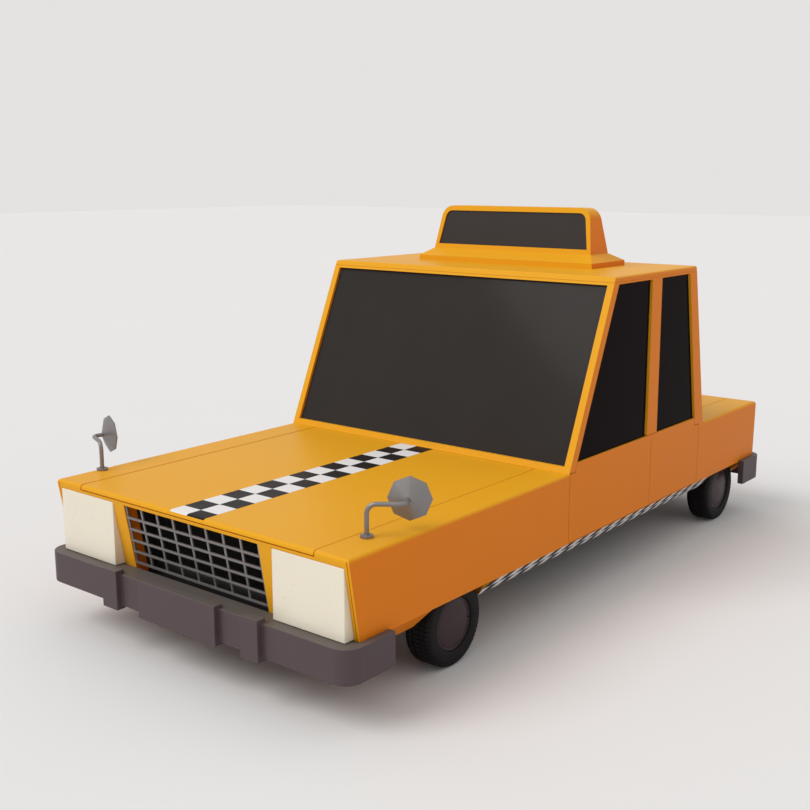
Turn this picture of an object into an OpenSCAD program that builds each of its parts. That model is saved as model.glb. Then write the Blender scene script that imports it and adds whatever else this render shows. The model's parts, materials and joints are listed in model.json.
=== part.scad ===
// Four-door taxi cab with a checker stripe, a roof sign and wing mirrors.
// Millimetres. +Z is up, the nose points along -Y, and +X is the cab's left side.
// The origin is on the floor, under the middle of the body.

/* [Body] */
// Width over the body sides
body_w = 2000; // [1900:10:2040]
// Length of the body without bumpers
body_l = 4212; // [4180:2:4240]
// Height of the bonnet, the belt line and the boot lid above the floor
belt_z = 767; // [760:1:775]
// Height of the lower edge of the body sides
side_z = 384; // [380:1:390]
// Width and height of the slanted edge below the body sides
chamfer = 111; // [105:1:115]
// How far the foot of the nose stands back from its top
nose_lean = 67; // [50:1:70]
// How far the foot of the tail stands back from its top
tail_lean = 10; // [5:1:15]
// Radius of the rounded edges of the bonnet, the wings and the boot lid
edge_r = 22; // [16:1:24]
// Thickness of the wings' sheet, flanges included
skin_t = 12; // [8:1:14]

/* [Cabin] */
// Height of the roof above the floor
roof_z = 1758; // [1720:1:1800]
// Y of the windscreen's foot at the belt line
screen_foot_y = -382; // [-386:1:-378]
// Y of the roof's front edge
roof_front_y = 42; // [30:1:60]
// Y of the roof's rear edge
roof_rear_y = 1040; // [1020:1:1060]
// Y of the rear window's foot at the belt line
rear_foot_y = 1242; // [1238:1:1246]
// Thickness of the pillars and of the cabin's walls
pillar_t = 40; // [36:1:42]
// Thickness of a door
door_t = 50; // [45:1:52]
// Gap round doors and lids
shut_gap = 5; // [5:1:7]

/* [Wheels] */
// Y of the front wheels' centre
front_axle_y = -1282; // [-1290:1:-1274]
// Y of the rear wheels' centre
rear_axle_y = 1727; // [1720:1:1734]
// Outer radius of the tyres, and so the height of the wheels' centre
tyre_r = 212; // [208:1:216]
// Width of the tyres
tyre_w = 146; // [140:1:150]
// Radius of the wheel discs
disc_r = 133; // [128:1:138]
// X of the tyres' outer side
tyre_face_x = 933; // [928:1:938]
// X of the kingpins
kingpin_x = 760; // [755:1:764]

/* [Bumpers] */
// Lower edge of the bumper bars
bumper_low_z = 235; // [230:1:240]
// Upper edge of the bumper bars
bumper_top_z = 395; // [390:1:400]
// How far the bars stand out of the body's ends
bumper_out = 54; // [50:1:60]
// How far the bars stand out of the body's sides
bumper_side = 40; // [36:1:44]
// Radius of the bars' corners
bumper_r = 90; // [80:1:100]

/* [Roof sign] */
// Half the width of the sign's housing at its foot
sign_half_w = 573; // [540:1:590]
// Height of the sign above the roof
sign_h = 342; // [320:2:360]
// Y of the foot of the sign's front side
sign_front_y = 514; // [500:1:520]
// Depth of the sign's housing at its foot
sign_depth = 209; // [190:1:220]
// How far the sign's front and rear sides lean in at its top
sign_lean = 50; // [30:1:60]
// Width of the rim round the sign's panels
sign_rim = 30; // [25:1:40]
// Depth of the recess that holds a panel
sign_recess_d = 14; // [10:1:20]

/* [Hidden] */

$fn = 64;
paint = [0.88, 0.62, 0.13];
dark_glass = [0.10, 0.09, 0.08, 0.85];
rubber = [0.06, 0.06, 0.06];
bumper_grey = [0.33, 0.29, 0.29];
steel = [0.50, 0.48, 0.47];
under_paint = [0.16, 0.15, 0.15];
cloth = [0.20, 0.19, 0.20];

half_w = body_w / 2;
front_y = -body_l / 2;
tail_y = body_l / 2;
low_z = side_z - chamfer;
low_half_w = half_w - chamfer;
roof_bevel = 8;
lid_half_w = 800;
lid_t = 25;
gutter_z = belt_z - lid_t - shut_gap - 1;
panel_depth = 60;
panel_half_w = half_w - skin_t - 4;
hub_z = tyre_r;
// Half the tyre's chord at the sills' foot, and the radius that it sweeps there about the kingpin
tyre_chord = sqrt(pow(tyre_r, 2) - pow(low_z - hub_z, 2));
tyre_sweep_r = norm([tyre_face_x - kingpin_x, tyre_chord]) + 6;
inner_wing_x = 640;
boot_side_x = 740;
floor_z = 285;
floor_t = 20;
boot_floor_z = 440;
sill_inner_x = 860;
post_x = [half_w - 95, half_w - door_t - 10];
scuttle_y = screen_foot_y - 15;
rear_wall_y = rear_foot_y + 15;
notch_front = [front_axle_y - 268, front_axle_y + 200];
notch_rear = [rear_axle_y - 285, rear_axle_y + 228];
scuttle_back_y = screen_foot_y + 5;
door_front_y = scuttle_back_y + shut_gap;
door_split_y = 540;
door_rear_y = 1185;
window_low_z = 812;
window_top_z = 1717;
roof_t = 30;

// Y of the nose's, the tail's, the windscreen's and the rear window's outer plane at height z
function nose_y(z) = front_y + nose_lean * (belt_z - z) / (belt_z - side_z);
function tail_at(z) = tail_y - tail_lean * (belt_z - z) / (belt_z - side_z);
function screen_y(z) = screen_foot_y + (roof_front_y - screen_foot_y) * (z - belt_z) / (roof_z - belt_z);
function rear_y(z) = rear_foot_y + (roof_rear_y - rear_foot_y) * (z - belt_z) / (roof_z - belt_z);
// Y of the edges of the side windows at height z
function front_window_y(z) = screen_y(z) + 57;
function rear_window_y(z) = rear_y(z) - 109 + 18 * (z - window_low_z) / (window_top_z - window_low_z);
function post_front_y(z) = 482 - 8 * (z - window_low_z) / (window_top_z - window_low_z);
function post_rear_y(z) = 604 - 13 * (z - window_low_z) / (window_top_z - window_low_z);

function reversed(points) = [for (i = [len(points) - 1 : -1 : 0]) points[i]];

// Rounded edge between an upright face and the top, as depths below both, from the face upwards
edge_arc = [for (a = [0 : 22.5 : 90]) edge_r * [1 - cos(a), 1 - sin(a)]];
nose_edge = [for (o = edge_arc) [nose_y(belt_z - o[1]) + o[0], belt_z - o[1]]];
tail_edge = [for (o = edge_arc) [tail_at(belt_z - o[1]) - o[0], belt_z - o[1]]];

// Pushes a (y, z) outline along X, from x0 to x1
module along_x(x0, x1) {
    translate([x0, 0, 0])
        rotate([90, 0, 90])
            linear_extrude(x1 - x0)
                children();
}

// Pushes an (x, z) outline along Y, from y0 to y1
module along_y(y0, y1) {
    translate([0, y1, 0])
        rotate([90, 0, 0])
            linear_extrude(y1 - y0)
                children();
}

// A box from its lowest to its highest corner
module block(low, high) {
    translate(low)
        cube(high - low);
}

// A rectangle between two ranges, made larger by margin
module rectangle(xs, zs, margin) {
    translate([xs[0] - margin, zs[0] - margin])
        square([xs[1] - xs[0] + 2 * margin, zs[1] - zs[0] + 2 * margin]);
}

// Its children, and their mirror image on the right side
module both_sides() {
    children();
    mirror([1, 0, 0])
        children();
}

module on_side(side) {
    if (side > 0) {
        children();
    } else {
        mirror([1, 0, 0])
            children();
    }
}

// The body's outline from the side, seen as a (y, z) outline
module side_outline(low = low_z) {
    polygon(concat(
        [[nose_y(low), low]], nose_edge, reversed(tail_edge), [[tail_at(low), low]]
    ));
}

// ---- wings ------------------------------------------------------------------------------

// Skin and top flange of a wing; with the slanted lower edge where chamfered is true
module wing_skin_outline(chamfered) {
    i = skin_t / sqrt(2);
    edge = [for (o = edge_arc) [half_w - o[0], belt_z - o[1]]];
    flange = [
        [lid_half_w + shut_gap, belt_z], [lid_half_w + shut_gap, belt_z - skin_t],
        [half_w - skin_t, belt_z - skin_t]
    ];
    foot = chamfered
        ? [[half_w - skin_t, side_z + skin_t * (sqrt(2) - 1)], [low_half_w - i, low_z + i],
           [low_half_w, low_z], [half_w, side_z]]
        : [[half_w - skin_t, side_z], [half_w, side_z]];
    polygon(concat(edge, flange, foot));
}

// Gutter under the lid's edge and the inner wing below it
module inner_wing_outline(wall_x, foot_z) {
    step_x = lid_half_w + shut_gap;
    polygon([
        [step_x, belt_z], [step_x, gutter_z], [wall_x, gutter_z], [wall_x, foot_z],
        [wall_x + skin_t, foot_z], [wall_x + skin_t, gutter_z - skin_t],
        [step_x + skin_t, gutter_z - skin_t], [step_x + skin_t, belt_z]
    ]);
}

// Box over a wheel, open below; it reaches the skin above the sills only
module wheel_house(wall_x, y0, y1, top_z) {
    difference() {
        along_y(y0, y1)
            polygon([
                [wall_x, low_z + 10], [sill_inner_x - 1, low_z + 10], [sill_inner_x - 1, side_z + 1],
                [half_w - skin_t / 2, side_z + 1], [half_w - skin_t / 2, top_z], [wall_x, top_z]
            ]);
        block([wall_x + skin_t, y0 + skin_t, 0], [half_w - skin_t, y1 - skin_t, top_z - skin_t]);
    }
}

module front_wing_shape() {
    inner_y0 = nose_y(low_z) + panel_depth + 5;
    intersection() {
        union() {
            along_y(front_y - 10, notch_front[0])
                wing_skin_outline(true);
            along_y(notch_front[0] - 1, scuttle_y)
                wing_skin_outline(false);
            along_y(inner_y0, scuttle_y)
                inner_wing_outline(inner_wing_x, floor_z + 15);
            wheel_house(inner_wing_x, front_axle_y - 310, front_axle_y + 310, 512);
        }
        along_x(0, half_w + 1)
            side_outline();
    }
}

module front_wings() {
    color(paint)
        both_sides()
            front_wing_shape();
}

module rear_wing_shape() {
    inner_y1 = tail_at(low_z) - panel_depth - 5;
    intersection() {
        union() {
            along_y(notch_rear[1], tail_y + 10)
                wing_skin_outline(true);
            along_y(rear_wall_y, notch_rear[1] + 1)
                wing_skin_outline(false);
            block([half_w - skin_t, door_rear_y + shut_gap, side_z], [half_w, rear_wall_y + 1, belt_z]);
            along_y(rear_wall_y, inner_y1)
                inner_wing_outline(boot_side_x, floor_z + 15);
            wheel_house(boot_side_x, rear_axle_y - 245, rear_axle_y + 245, 482);
        }
        along_x(0, half_w + 1)
            side_outline();
    }
}

module rear_wings() {
    color(paint)
        both_sides()
            rear_wing_shape();
}

// Box section below the doors; its slanted face carries the checker band, and its front end is
// hollowed for the sweep of the steered tyre
module sills() {
    color(paint)
        both_sides()
            difference() {
                along_y(notch_front[1], notch_rear[0])
                    polygon([
                        [sill_inner_x, low_z], [low_half_w, low_z], [half_w, side_z], [sill_inner_x, side_z]
                    ]);
                translate([kingpin_x, front_axle_y, low_z - 1])
                    cylinder(r = tyre_sweep_r, h = chamfer + 2);
            }
}

// ---- nose and tail ----------------------------------------------------------------------

lamp_x = [550, 969];
lamp_z = [397, 722];
lamp_front_y = front_y + 6;
grille_half_w = 465;
grille_z = [352, 722];
tail_lamp_x = [760, 978];
tail_lamp_z = [450, 700];

// Nose or tail from the front: it meets the wings' flanges, and steps down under the lid
module end_panel_outline() {
    foot = 114;
    half_panel = [
        [panel_half_w - foot, gutter_z - 454], [panel_half_w, gutter_z - 340],
        [panel_half_w, belt_z - skin_t], [lid_half_w + shut_gap, belt_z - skin_t],
        [lid_half_w + shut_gap, gutter_z + 2]
    ];
    other_half = [for (i = [len(half_panel) - 1 : -1 : 0]) [-half_panel[i][0], half_panel[i][1]]];
    polygon(concat(half_panel, other_half));
}

module nose_panel() {
    color(paint)
        intersection() {
            along_x(-half_w, half_w)
                polygon(concat(
                    [[nose_y(low_z), low_z]], nose_edge,
                    [[nose_y(belt_z) + panel_depth, belt_z], [nose_y(low_z) + panel_depth, low_z]]
                ));
            difference() {
                along_y(front_y - 20, 0)
                    end_panel_outline();
                along_y(front_y - 30, 1)
                    rectangle([-grille_half_w, grille_half_w], grille_z, 0);
                both_sides()
                    along_y(front_y - 30, 1)
                        rectangle(lamp_x, lamp_z, 1);
            }
        }
    // cheeks behind the grille's opening
    color(paint)
        both_sides()
            along_x(grille_half_w, grille_half_w + skin_t)
                polygon([
                    [nose_y(grille_z[0]) + panel_depth - 1, grille_z[0]],
                    [nose_y(grille_z[1]) + panel_depth - 1, grille_z[1]],
                    [nose_y(low_z) + panel_depth + 40, grille_z[1]],
                    [nose_y(low_z) + panel_depth + 40, grille_z[0]]
                ]);
}

module tail_panel() {
    color(paint)
        intersection() {
            along_x(-half_w, half_w)
                polygon(concat(
                    [[tail_at(low_z), low_z]], tail_edge,
                    [[tail_at(belt_z) - panel_depth, belt_z], [tail_at(low_z) - panel_depth, low_z]]
                ));
            difference() {
                along_y(0, tail_y + 20)
                    end_panel_outline();
                both_sides()
                    along_y(-1, tail_y + 30)
                        rectangle(tail_lamp_x, tail_lamp_z, 1);
            }
        }
}

module headlights() {
    color([0.89, 0.86, 0.78])
        both_sides()
            along_x(lamp_x[0], lamp_x[1])
                polygon([
                    [lamp_front_y, lamp_z[0]], [lamp_front_y, lamp_z[1]],
                    [nose_y(lamp_z[1]) + panel_depth, lamp_z[1]],
                    [nose_y(lamp_z[0]) + panel_depth, lamp_z[0]]
                ]);
}

module tail_lamps() {
    color([0.55, 0.08, 0.06])
        both_sides()
            along_y(tail_y - panel_depth, tail_y + 6)
                rectangle(tail_lamp_x, tail_lamp_z, 0);
}

bumper_reach = 305;
front_bar_depth = 115;
rear_bar_depth = 58;
bracket_z = [290, 350];

// Lattice of square bars in the nose's opening
module grille() {
    bar = 13;
    rows = 5;
    columns = 9;
    low = 413;
    step_z = 60;
    step_x = (2 * grille_half_w - bar) / (columns - 1);
    color(steel)
        intersection() {
            along_x(-grille_half_w, grille_half_w)
                polygon([
                    [nose_y(low_z) + 2, low_z], [nose_y(belt_z) + 2, belt_z],
                    [nose_y(belt_z) + 2 + bar, belt_z], [nose_y(low_z) + 2 + bar, low_z]
                ]);
            union() {
                for (z = [low : step_z : low + (rows - 1) * step_z])
                    block([-grille_half_w, front_y, z], [grille_half_w, 0, z + bar]);
                for (i = [0 : columns - 1])
                    block(
                        [-grille_half_w + i * step_x, front_y, low],
                        [-grille_half_w + i * step_x + bar, 0, grille_z[1]]
                    );
            }
        }
}

module radiator() {
    color(under_paint)
        block(
            [-480, nose_y(low_z) + panel_depth + 45, rail_z[1]],
            [480, nose_y(low_z) + panel_depth + 100, 700]
        );
}

// Bar that wraps round the nose, as half of the cab's plan with the nose to -Y
module bumper_bar_outline(depth) {
    outer = half_w + bumper_side;
    bar_y = front_y - bumper_out;
    difference() {
        union() {
            translate([-outer + bumper_r, bar_y])
                square([2 * (outer - bumper_r), bumper_r + 1]);
            both_sides()
                translate([outer - bumper_r, bar_y + bumper_r])
                    circle(bumper_r);
            translate([-outer, bar_y + bumper_r])
                square([2 * outer, bumper_reach - bumper_r]);
        }
        translate([-half_w - 2, bar_y + depth])
            square([body_w + 4, bumper_reach]);
    }
}

// Bar with its fat middle and its two overriders
module bumper_shape(depth) {
    block_y = front_y - bumper_out - 30;
    translate([0, 0, bumper_low_z])
        linear_extrude(bumper_top_z - bumper_low_z)
            bumper_bar_outline(depth);
    block([-270, block_y, bumper_low_z - 13], [270, front_y - bumper_out + 20, bumper_top_z + 18]);
    both_sides()
        block([432, block_y, bumper_low_z - 17], [544, front_y - bumper_out + 20, bumper_top_z + 22]);
}

// Brackets from the bar's inner face to a body panel's plane, given at two heights
module bumper_brackets(inner_y, panel_low_y, panel_high_y) {
    both_sides()
        along_x(400, 500)
            polygon([
                [inner_y, bracket_z[0]], [inner_y, bracket_z[1]],
                [panel_high_y, bracket_z[1]], [panel_low_y, bracket_z[0]]
            ]);
}

module bumpers() {
    color(bumper_grey) {
        bumper_shape(front_bar_depth);
        bumper_brackets(
            front_y - bumper_out + front_bar_depth - 1,
            nose_y(bracket_z[0]) - 0.5, nose_y(bracket_z[1]) - 0.5
        );
        mirror([0, 1, 0])
            bumper_shape(rear_bar_depth);
        bumper_brackets(
            tail_y + bumper_out - rear_bar_depth + 1,
            tail_at(bracket_z[0]) + 0.5, tail_at(bracket_z[1]) + 0.5
        );
    }
}

// ---- cabin ------------------------------------------------------------------------------

// Cabin's outline from the side between two heights, walls moved in by t
module cabin_outline(t, z0, z1) {
    polygon([
        [screen_y(z0) + t, z0], [screen_y(z1) + t, z1], [rear_y(z1) - t, z1], [rear_y(z0) - t, z0]
    ]);
}

// Outline of a side window between two heights, made smaller by gap
module window_outline(y_front_low, y_front_top, y_rear_top, y_rear_low, gap, z0, z1) {
    polygon([
        [y_front_low + gap, z0], [y_front_top + gap, z1],
        [y_rear_top - gap, z1], [y_rear_low - gap, z0]
    ]);
}

module front_window(gap, z0, z1) {
    window_outline(front_window_y(z0), front_window_y(z1), post_front_y(z1), post_front_y(z0), gap, z0, z1);
}

module rear_side_window(gap, z0, z1) {
    window_outline(post_rear_y(z0), post_rear_y(z1), rear_window_y(z1), rear_window_y(z0), gap, z0, z1);
}

screen_half_w = half_w - pillar_t;
screen_z = [795, 1714];
bulkhead_t = 25;
ledge_y = screen_foot_y + 45;
shelf_front_y = 1160;

// Section across the cab, half_x wide above the sills, with an arch for the tunnel; arc is the
// shape of its top corners, as depths below the side and the top
module bulkhead_outline(half_x, arc) {
    difference() {
        polygon(concat(
            [[-sill_inner_x, floor_z], [sill_inner_x, floor_z], [sill_inner_x, side_z], [half_x, side_z]],
            [for (o = arc) [half_x - o[0], belt_z - o[1]]],
            [for (o = reversed(arc)) [-half_x + o[0], belt_z - o[1]]],
            [[-half_x, side_z], [-sill_inner_x, side_z]]
        ));
        translate([-tunnel_half_w, 0])
            square([2 * tunnel_half_w, tunnel_top_z]);
    }
}

module cabin_frame() {
    color(paint) {
        difference() {
            along_x(-half_w, half_w)
                cabin_outline(0, belt_z, roof_z - roof_t);
            along_x(-screen_half_w, screen_half_w)
                cabin_outline(pillar_t + 5, belt_z - 1, roof_z);
            // windscreen's and rear window's openings
            block([-screen_half_w, screen_foot_y - 50, screen_z[0]], [screen_half_w, 400, screen_z[1]]);
            block([-screen_half_w, 700, screen_z[0]], [screen_half_w, rear_foot_y + 50, screen_z[1]]);
            // side windows, and the doors' upper edge below them
            along_x(-half_w - 1, half_w + 1) {
                front_window(0, window_low_z - 60, window_top_z);
                rear_side_window(0, window_low_z - 60, window_top_z);
                translate([0, belt_z - 1])
                    square([800, window_low_z + shut_gap - belt_z]);
            }
        }
        // posts between the doors, from the floor up into the pillars
        both_sides() {
            block([post_x[0], 500, side_z], [post_x[1], 590, window_low_z + 60]);
            along_x(post_x[0], screen_half_w + 1)
                polygon([
                    [500, window_low_z + shut_gap], [500, roof_z - roof_t], [575, roof_z - roof_t],
                    [590, window_low_z + shut_gap]
                ]);
            block([post_x[0], door_rear_y - 60, side_z], [post_x[1], rear_wall_y - bulkhead_t + 1, belt_z]);
        }
        // scuttle and front bulkhead
        along_y(scuttle_y, screen_foot_y)
            bulkhead_outline(half_w, edge_arc);
        along_y(screen_foot_y - 1, scuttle_back_y)
            bulkhead_outline(half_w, [[0, 0]]);
        block([-post_x[1], screen_foot_y - 1, belt_z - 25], [post_x[1], ledge_y, belt_z + 1]);
        // rear bulkhead, and the parcel shelf in front of it
        along_y(rear_wall_y - bulkhead_t, rear_wall_y - 0.5)
            bulkhead_outline(half_w - skin_t - 0.5, [[0, 0]]);
        block([-post_x[1], shelf_front_y, belt_z - 20], [post_x[1], rear_wall_y - bulkhead_t + 1, belt_z]);
    }
}

module roof_panel() {
    color(paint)
        intersection() {
            along_x(-half_w, half_w)
                cabin_outline(0, roof_z - roof_t, roof_z);
            along_y(-100, 1400)
                polygon([
                    [-half_w, roof_z - roof_t], [half_w, roof_z - roof_t],
                    [half_w, roof_z - roof_bevel], [half_w - roof_bevel, roof_z],
                    [-half_w + roof_bevel, roof_z], [-half_w, roof_z - roof_bevel]
                ]);
        }
}

// Windscreen or rear window, which leans from y_low at its foot to y_top
module screen_pane(y_low, y_top) {
    t = 6;
    along_x(-screen_half_w, screen_half_w)
        polygon([
            [y_low, screen_z[0]], [y_top, screen_z[1]], [y_top + t, screen_z[1]], [y_low + t, screen_z[0]]
        ]);
}

module fixed_glass() {
    color(dark_glass) {
        screen_pane(screen_y(screen_z[0]) + 18, screen_y(screen_z[1]) + 18);
        screen_pane(rear_y(screen_z[0]) - 24, rear_y(screen_z[1]) - 24);
    }
}

// ---- doors ------------------------------------------------------------------------------

module front_door_shape() {
    rear = door_split_y - shut_gap / 2;
    difference() {
        along_x(half_w - door_t, half_w)
            polygon([
                [door_front_y, side_z + shut_gap], [door_front_y, belt_z - shut_gap],
                [front_window_y(belt_z - shut_gap) + shut_gap, belt_z - shut_gap],
                [front_window_y(window_low_z) + shut_gap, window_low_z],
                [rear, window_low_z], [rear, side_z + shut_gap]
            ]);
        along_x(half_w - 22, half_w - 12)
            front_window(5, window_low_z - 30, window_low_z + 1);
    }
}

module rear_door_shape() {
    front = door_split_y + shut_gap / 2;
    difference() {
        along_x(half_w - door_t, half_w)
            polygon([
                [front, side_z + shut_gap], [front, window_low_z],
                [rear_window_y(window_low_z) - shut_gap, window_low_z],
                [rear_window_y(belt_z - shut_gap) - shut_gap, belt_z - shut_gap],
                [door_rear_y, belt_z - shut_gap], [door_rear_y, side_z + shut_gap]
            ]);
        along_x(half_w - 22, half_w - 12)
            rear_side_window(5, window_low_z - 30, window_low_z + 1);
    }
}

module front_glass_shape() {
    along_x(half_w - 20, half_w - 14)
        front_window(shut_gap, window_low_z - 28, window_top_z - shut_gap);
}

module rear_glass_shape() {
    along_x(half_w - 20, half_w - 14)
        rear_side_window(shut_gap, window_low_z - 28, window_top_z - shut_gap);
}

module front_door(side) {
    color(paint)
        on_side(side)
            front_door_shape();
}

module rear_door(side) {
    color(paint)
        on_side(side)
            rear_door_shape();
}

module front_glass(side) {
    color(dark_glass)
        on_side(side)
            front_glass_shape();
}

module rear_glass(side) {
    color(dark_glass)
        on_side(side)
            rear_glass_shape();
}

// ---- lids -------------------------------------------------------------------------------

module bonnet() {
    color(paint)
        along_x(-lid_half_w, lid_half_w)
            polygon(concat(
                [[nose_y(belt_z - lid_t), belt_z - lid_t]], nose_edge,
                [[scuttle_y - shut_gap, belt_z], [scuttle_y - shut_gap, belt_z - lid_t]]
            ));
}

module boot_lid() {
    color(paint)
        along_x(-lid_half_w, lid_half_w)
            polygon(concat(
                [[rear_wall_y + shut_gap, belt_z - lid_t], [rear_wall_y + shut_gap, belt_z]],
                reversed(tail_edge), [[tail_at(belt_z - lid_t), belt_z - lid_t]]
            ));
}

// ---- mirrors and sign -------------------------------------------------------------------

// Tube round a path in the XZ plane, closed at both ends
module tube(path, r, sides = 12) {
    n = len(path);
    function heading(i) =
        let (a = path[max(i - 1, 0)], b = path[min(i + 1, n - 1)])
        (b - a) / norm(b - a);
    // sideways direction of each ring, carried along from the one before it
    function sideways(i) =
        let (t = heading(i), s = i == 0 ? [0, 1, 0] : sideways(i - 1), u = s - (s * t) * t)
        u / norm(u);
    points = [
        for (i = [0 : n - 1], k = [0 : sides - 1])
            let (u = sideways(i), v = cross(u, heading(i)), a = 360 * k / sides)
            path[i] + r * (u * sin(a) - v * cos(a))
    ];
    faces = concat(
        [[for (k = [0 : sides - 1]) sides - 1 - k]],
        [for (i = [0 : n - 2], k = [0 : sides - 1])
            let (m = (k + 1) % sides)
            [i * sides + m, (i + 1) * sides + m, (i + 1) * sides + k, i * sides + k]],
        [[for (k = [0 : sides - 1]) (n - 1) * sides + k]]
    );
    polyhedron(points, faces);
}

// One mirror on its stalk: foot at the origin; the arm leads outwards, then back into the dish
module mirror_shape() {
    height = 149;
    tip = [110, 149, height];
    bend_r = 42;
    lead = 36;
    gaze = -61;
    out = [cos(lead), sin(lead), 0];
    back = [-cos(gaze), -sin(gaze), 0];
    elbow = [132, 96, height];
    turn_r = 34;
    cylinder(r = 29, h = 12);
    tube(concat(
        [[0, 0, 5]],
        [for (a = [0 : 22.5 : 90])
            bend_r * (1 - cos(a)) * out + [0, 0, height - bend_r * (1 - sin(a))]],
        [for (t = [0 : 0.25 : 1])
            let (p = elbow - turn_r * out, q = elbow + turn_r * (tip - elbow) / norm(tip - elbow))
            (1 - t) * (1 - t) * p + 2 * t * (1 - t) * elbow + t * t * q],
        [tip + 4 * back]
    ), 11);
    // shallow eight-sided dish with a thin rim, turned in towards the driver
    translate(tip)
        rotate([0, 0, gaze])
            rotate([0, -90, 0])
                union() {
                    cylinder(r1 = 20, r2 = 101, h = 36, $fn = 8);
                    translate([0, 0, 35.9])
                        cylinder(r = 101, h = 7, $fn = 8);
                }
}

module mirrors() {
    color(steel) {
        translate([862, -1834, belt_z])
            mirror_shape();
        translate([-960, -1854, belt_z])
            rotate([0, 0, 14])
                mirror([1, 0, 0])
                    mirror_shape();
    }
}

// Front view of the sign's housing, made smaller by inset
module sign_outline(inset) {
    corner = 78 - inset;
    foot_z = 72 + inset;
    hull() {
        translate([-sign_half_w + inset, foot_z])
            square([2 * (sign_half_w - inset), 1]);
        for (s = [-1, 1])
            translate([s * (sign_half_w - 30 - 78), sign_h - 78])
                circle(corner);
    }
}

// Slice of the sign parallel to its leaning front or rear side, from depth d0 to d1
module sign_slab(d0, d1) {
    along_x(-sign_half_w - 1, sign_half_w + 1)
        polygon([
            [sign_front_y + d0, 70], [sign_front_y + sign_lean + d0, sign_h + 1],
            [sign_front_y + sign_lean + d1, sign_h + 1], [sign_front_y + d1, 70]
        ]);
}

// Mirrors its children about the sign's middle, front to back
module to_sign_rear() {
    middle = sign_front_y + sign_depth / 2;
    translate([0, middle, 0])
        mirror([0, 1, 0])
            translate([0, -middle, 0])
                children();
}

module sign_recess() {
    intersection() {
        sign_slab(-1, sign_recess_d);
        along_y(sign_front_y - 1, sign_front_y + sign_depth)
            sign_outline(sign_rim);
    }
}

module roof_sign() {
    color(paint)
        translate([0, 0, roof_z]) {
            difference() {
                intersection() {
                    along_y(sign_front_y, sign_front_y + sign_depth)
                        sign_outline(0);
                    along_x(-sign_half_w - 1, sign_half_w + 1)
                        polygon([
                            [sign_front_y, 70], [sign_front_y + sign_lean, sign_h + 1],
                            [sign_front_y + sign_depth - sign_lean, sign_h + 1],
                            [sign_front_y + sign_depth, 70]
                        ]);
                }
                sign_recess();
                to_sign_rear()
                    sign_recess();
            }
            // foot that flares out to the roof
            hull() {
                translate([-sign_half_w - 58, sign_front_y - 84, 0])
                    cube([2 * (sign_half_w + 58), sign_depth + 186, 30]);
                translate([-sign_half_w, sign_front_y, 0])
                    cube([2 * sign_half_w, sign_depth, 74]);
            }
        }
}

module sign_panel_shape() {
    intersection() {
        sign_slab(sign_recess_d - 6, sign_recess_d);
        along_y(sign_front_y - 1, sign_front_y + sign_depth)
            sign_outline(sign_rim + 1);
    }
}

module sign_panels() {
    color([0.20, 0.19, 0.18])
        translate([0, 0, roof_z]) {
            sign_panel_shape();
            to_sign_rear()
                sign_panel_shape();
        }
}

// ---- inside -----------------------------------------------------------------------------

cushion_z = [420, 560];
wheel_hub = [420, -90, 830];
column_tilt = 62;

module dashboard() {
    color(cloth) {
        along_x(-900, 900)
            polygon([
                [scuttle_back_y, 560], [scuttle_back_y, belt_z - 26], [ledge_y + 1, belt_z - 26],
                [ledge_y + 1, belt_z - 2], [ledge_y + 7, 774], [-200, 765], [-165, 720],
                [-200, 560]
            ]);
        // steering column, from the dashboard to just below the wheel's boss
        translate(wheel_hub)
            rotate([-column_tilt, 0, 0])
                translate([0, 0, -170])
                    cylinder(r = 26, h = 135);
    }
}

module steering_wheel() {
    color(rubber)
        translate(wheel_hub)
            rotate([-column_tilt, 0, 0]) {
                rotate_extrude()
                    translate([178, 0])
                        circle(14);
                translate([0, 0, -28])
                    cylinder(r = 45, h = 36);
                for (a = [90, 210, 330])
                    rotate([0, 0, a])
                        block([40, -16, -12], [170, 16, -2]);
            }
}

// Cushion and back; the back leans by lean over its height
module seat_shape(x0, x1, y0, y1, back_top, lean) {
    block([x0, y0, cushion_z[0]], [x1, y1, cushion_z[1]]);
    along_x(x0, x1)
        polygon([
            [y1 - 120, cushion_z[1] - 5], [y1 - 80 + lean, back_top],
            [y1 + lean, back_top], [y1, cushion_z[1] - 5]
        ]);
}

module front_seats() {
    color(cloth)
        both_sides() {
            seat_shape(180, 700, 40, 500, 1150, 60);
            block([220, 100, floor_z + floor_t], [660, 460, cushion_z[0] + 1]);
        }
}

module rear_seat() {
    color(cloth) {
        seat_shape(-850, 850, 700, 1130, 1000, 10);
        both_sides()
            block([tunnel_half_w + 16, 760, floor_z + floor_t], [810, 1090, cushion_z[0] + 1]);
    }
}

// ---- underneath -------------------------------------------------------------------------

tunnel_half_w = 140;
tunnel_top_z = 385;
rail_x = [440, 500];
rail_z = [290, 350];
rear_rail_low_z = 360;
tow_eye = [470, -1925, 250];
tow_eye_r = 15;
tow_eye_t = 12;

// Flat lug with a round upright eye, on a web below the left front rail
module tow_lug() {
    width = 52;
    half_t = tow_eye_t / 2;
    difference() {
        union() {
            translate([tow_eye[0], tow_eye[1], tow_eye[2] - half_t])
                cylinder(r = width / 2, h = tow_eye_t);
            block(
                [tow_eye[0] - width / 2, tow_eye[1], tow_eye[2] - half_t],
                [tow_eye[0] + width / 2, tow_eye[1] + 55, tow_eye[2] + half_t]
            );
        }
        translate([tow_eye[0], tow_eye[1], tow_eye[2] - tow_eye_t])
            cylinder(r = tow_eye_r, h = 2 * tow_eye_t);
    }
    block(
        [tow_eye[0] - width / 2, tow_eye[1] + 43, tow_eye[2] - half_t],
        [tow_eye[0] + width / 2, tow_eye[1] + 55, rail_z[0] + 1]
    );
}

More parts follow.
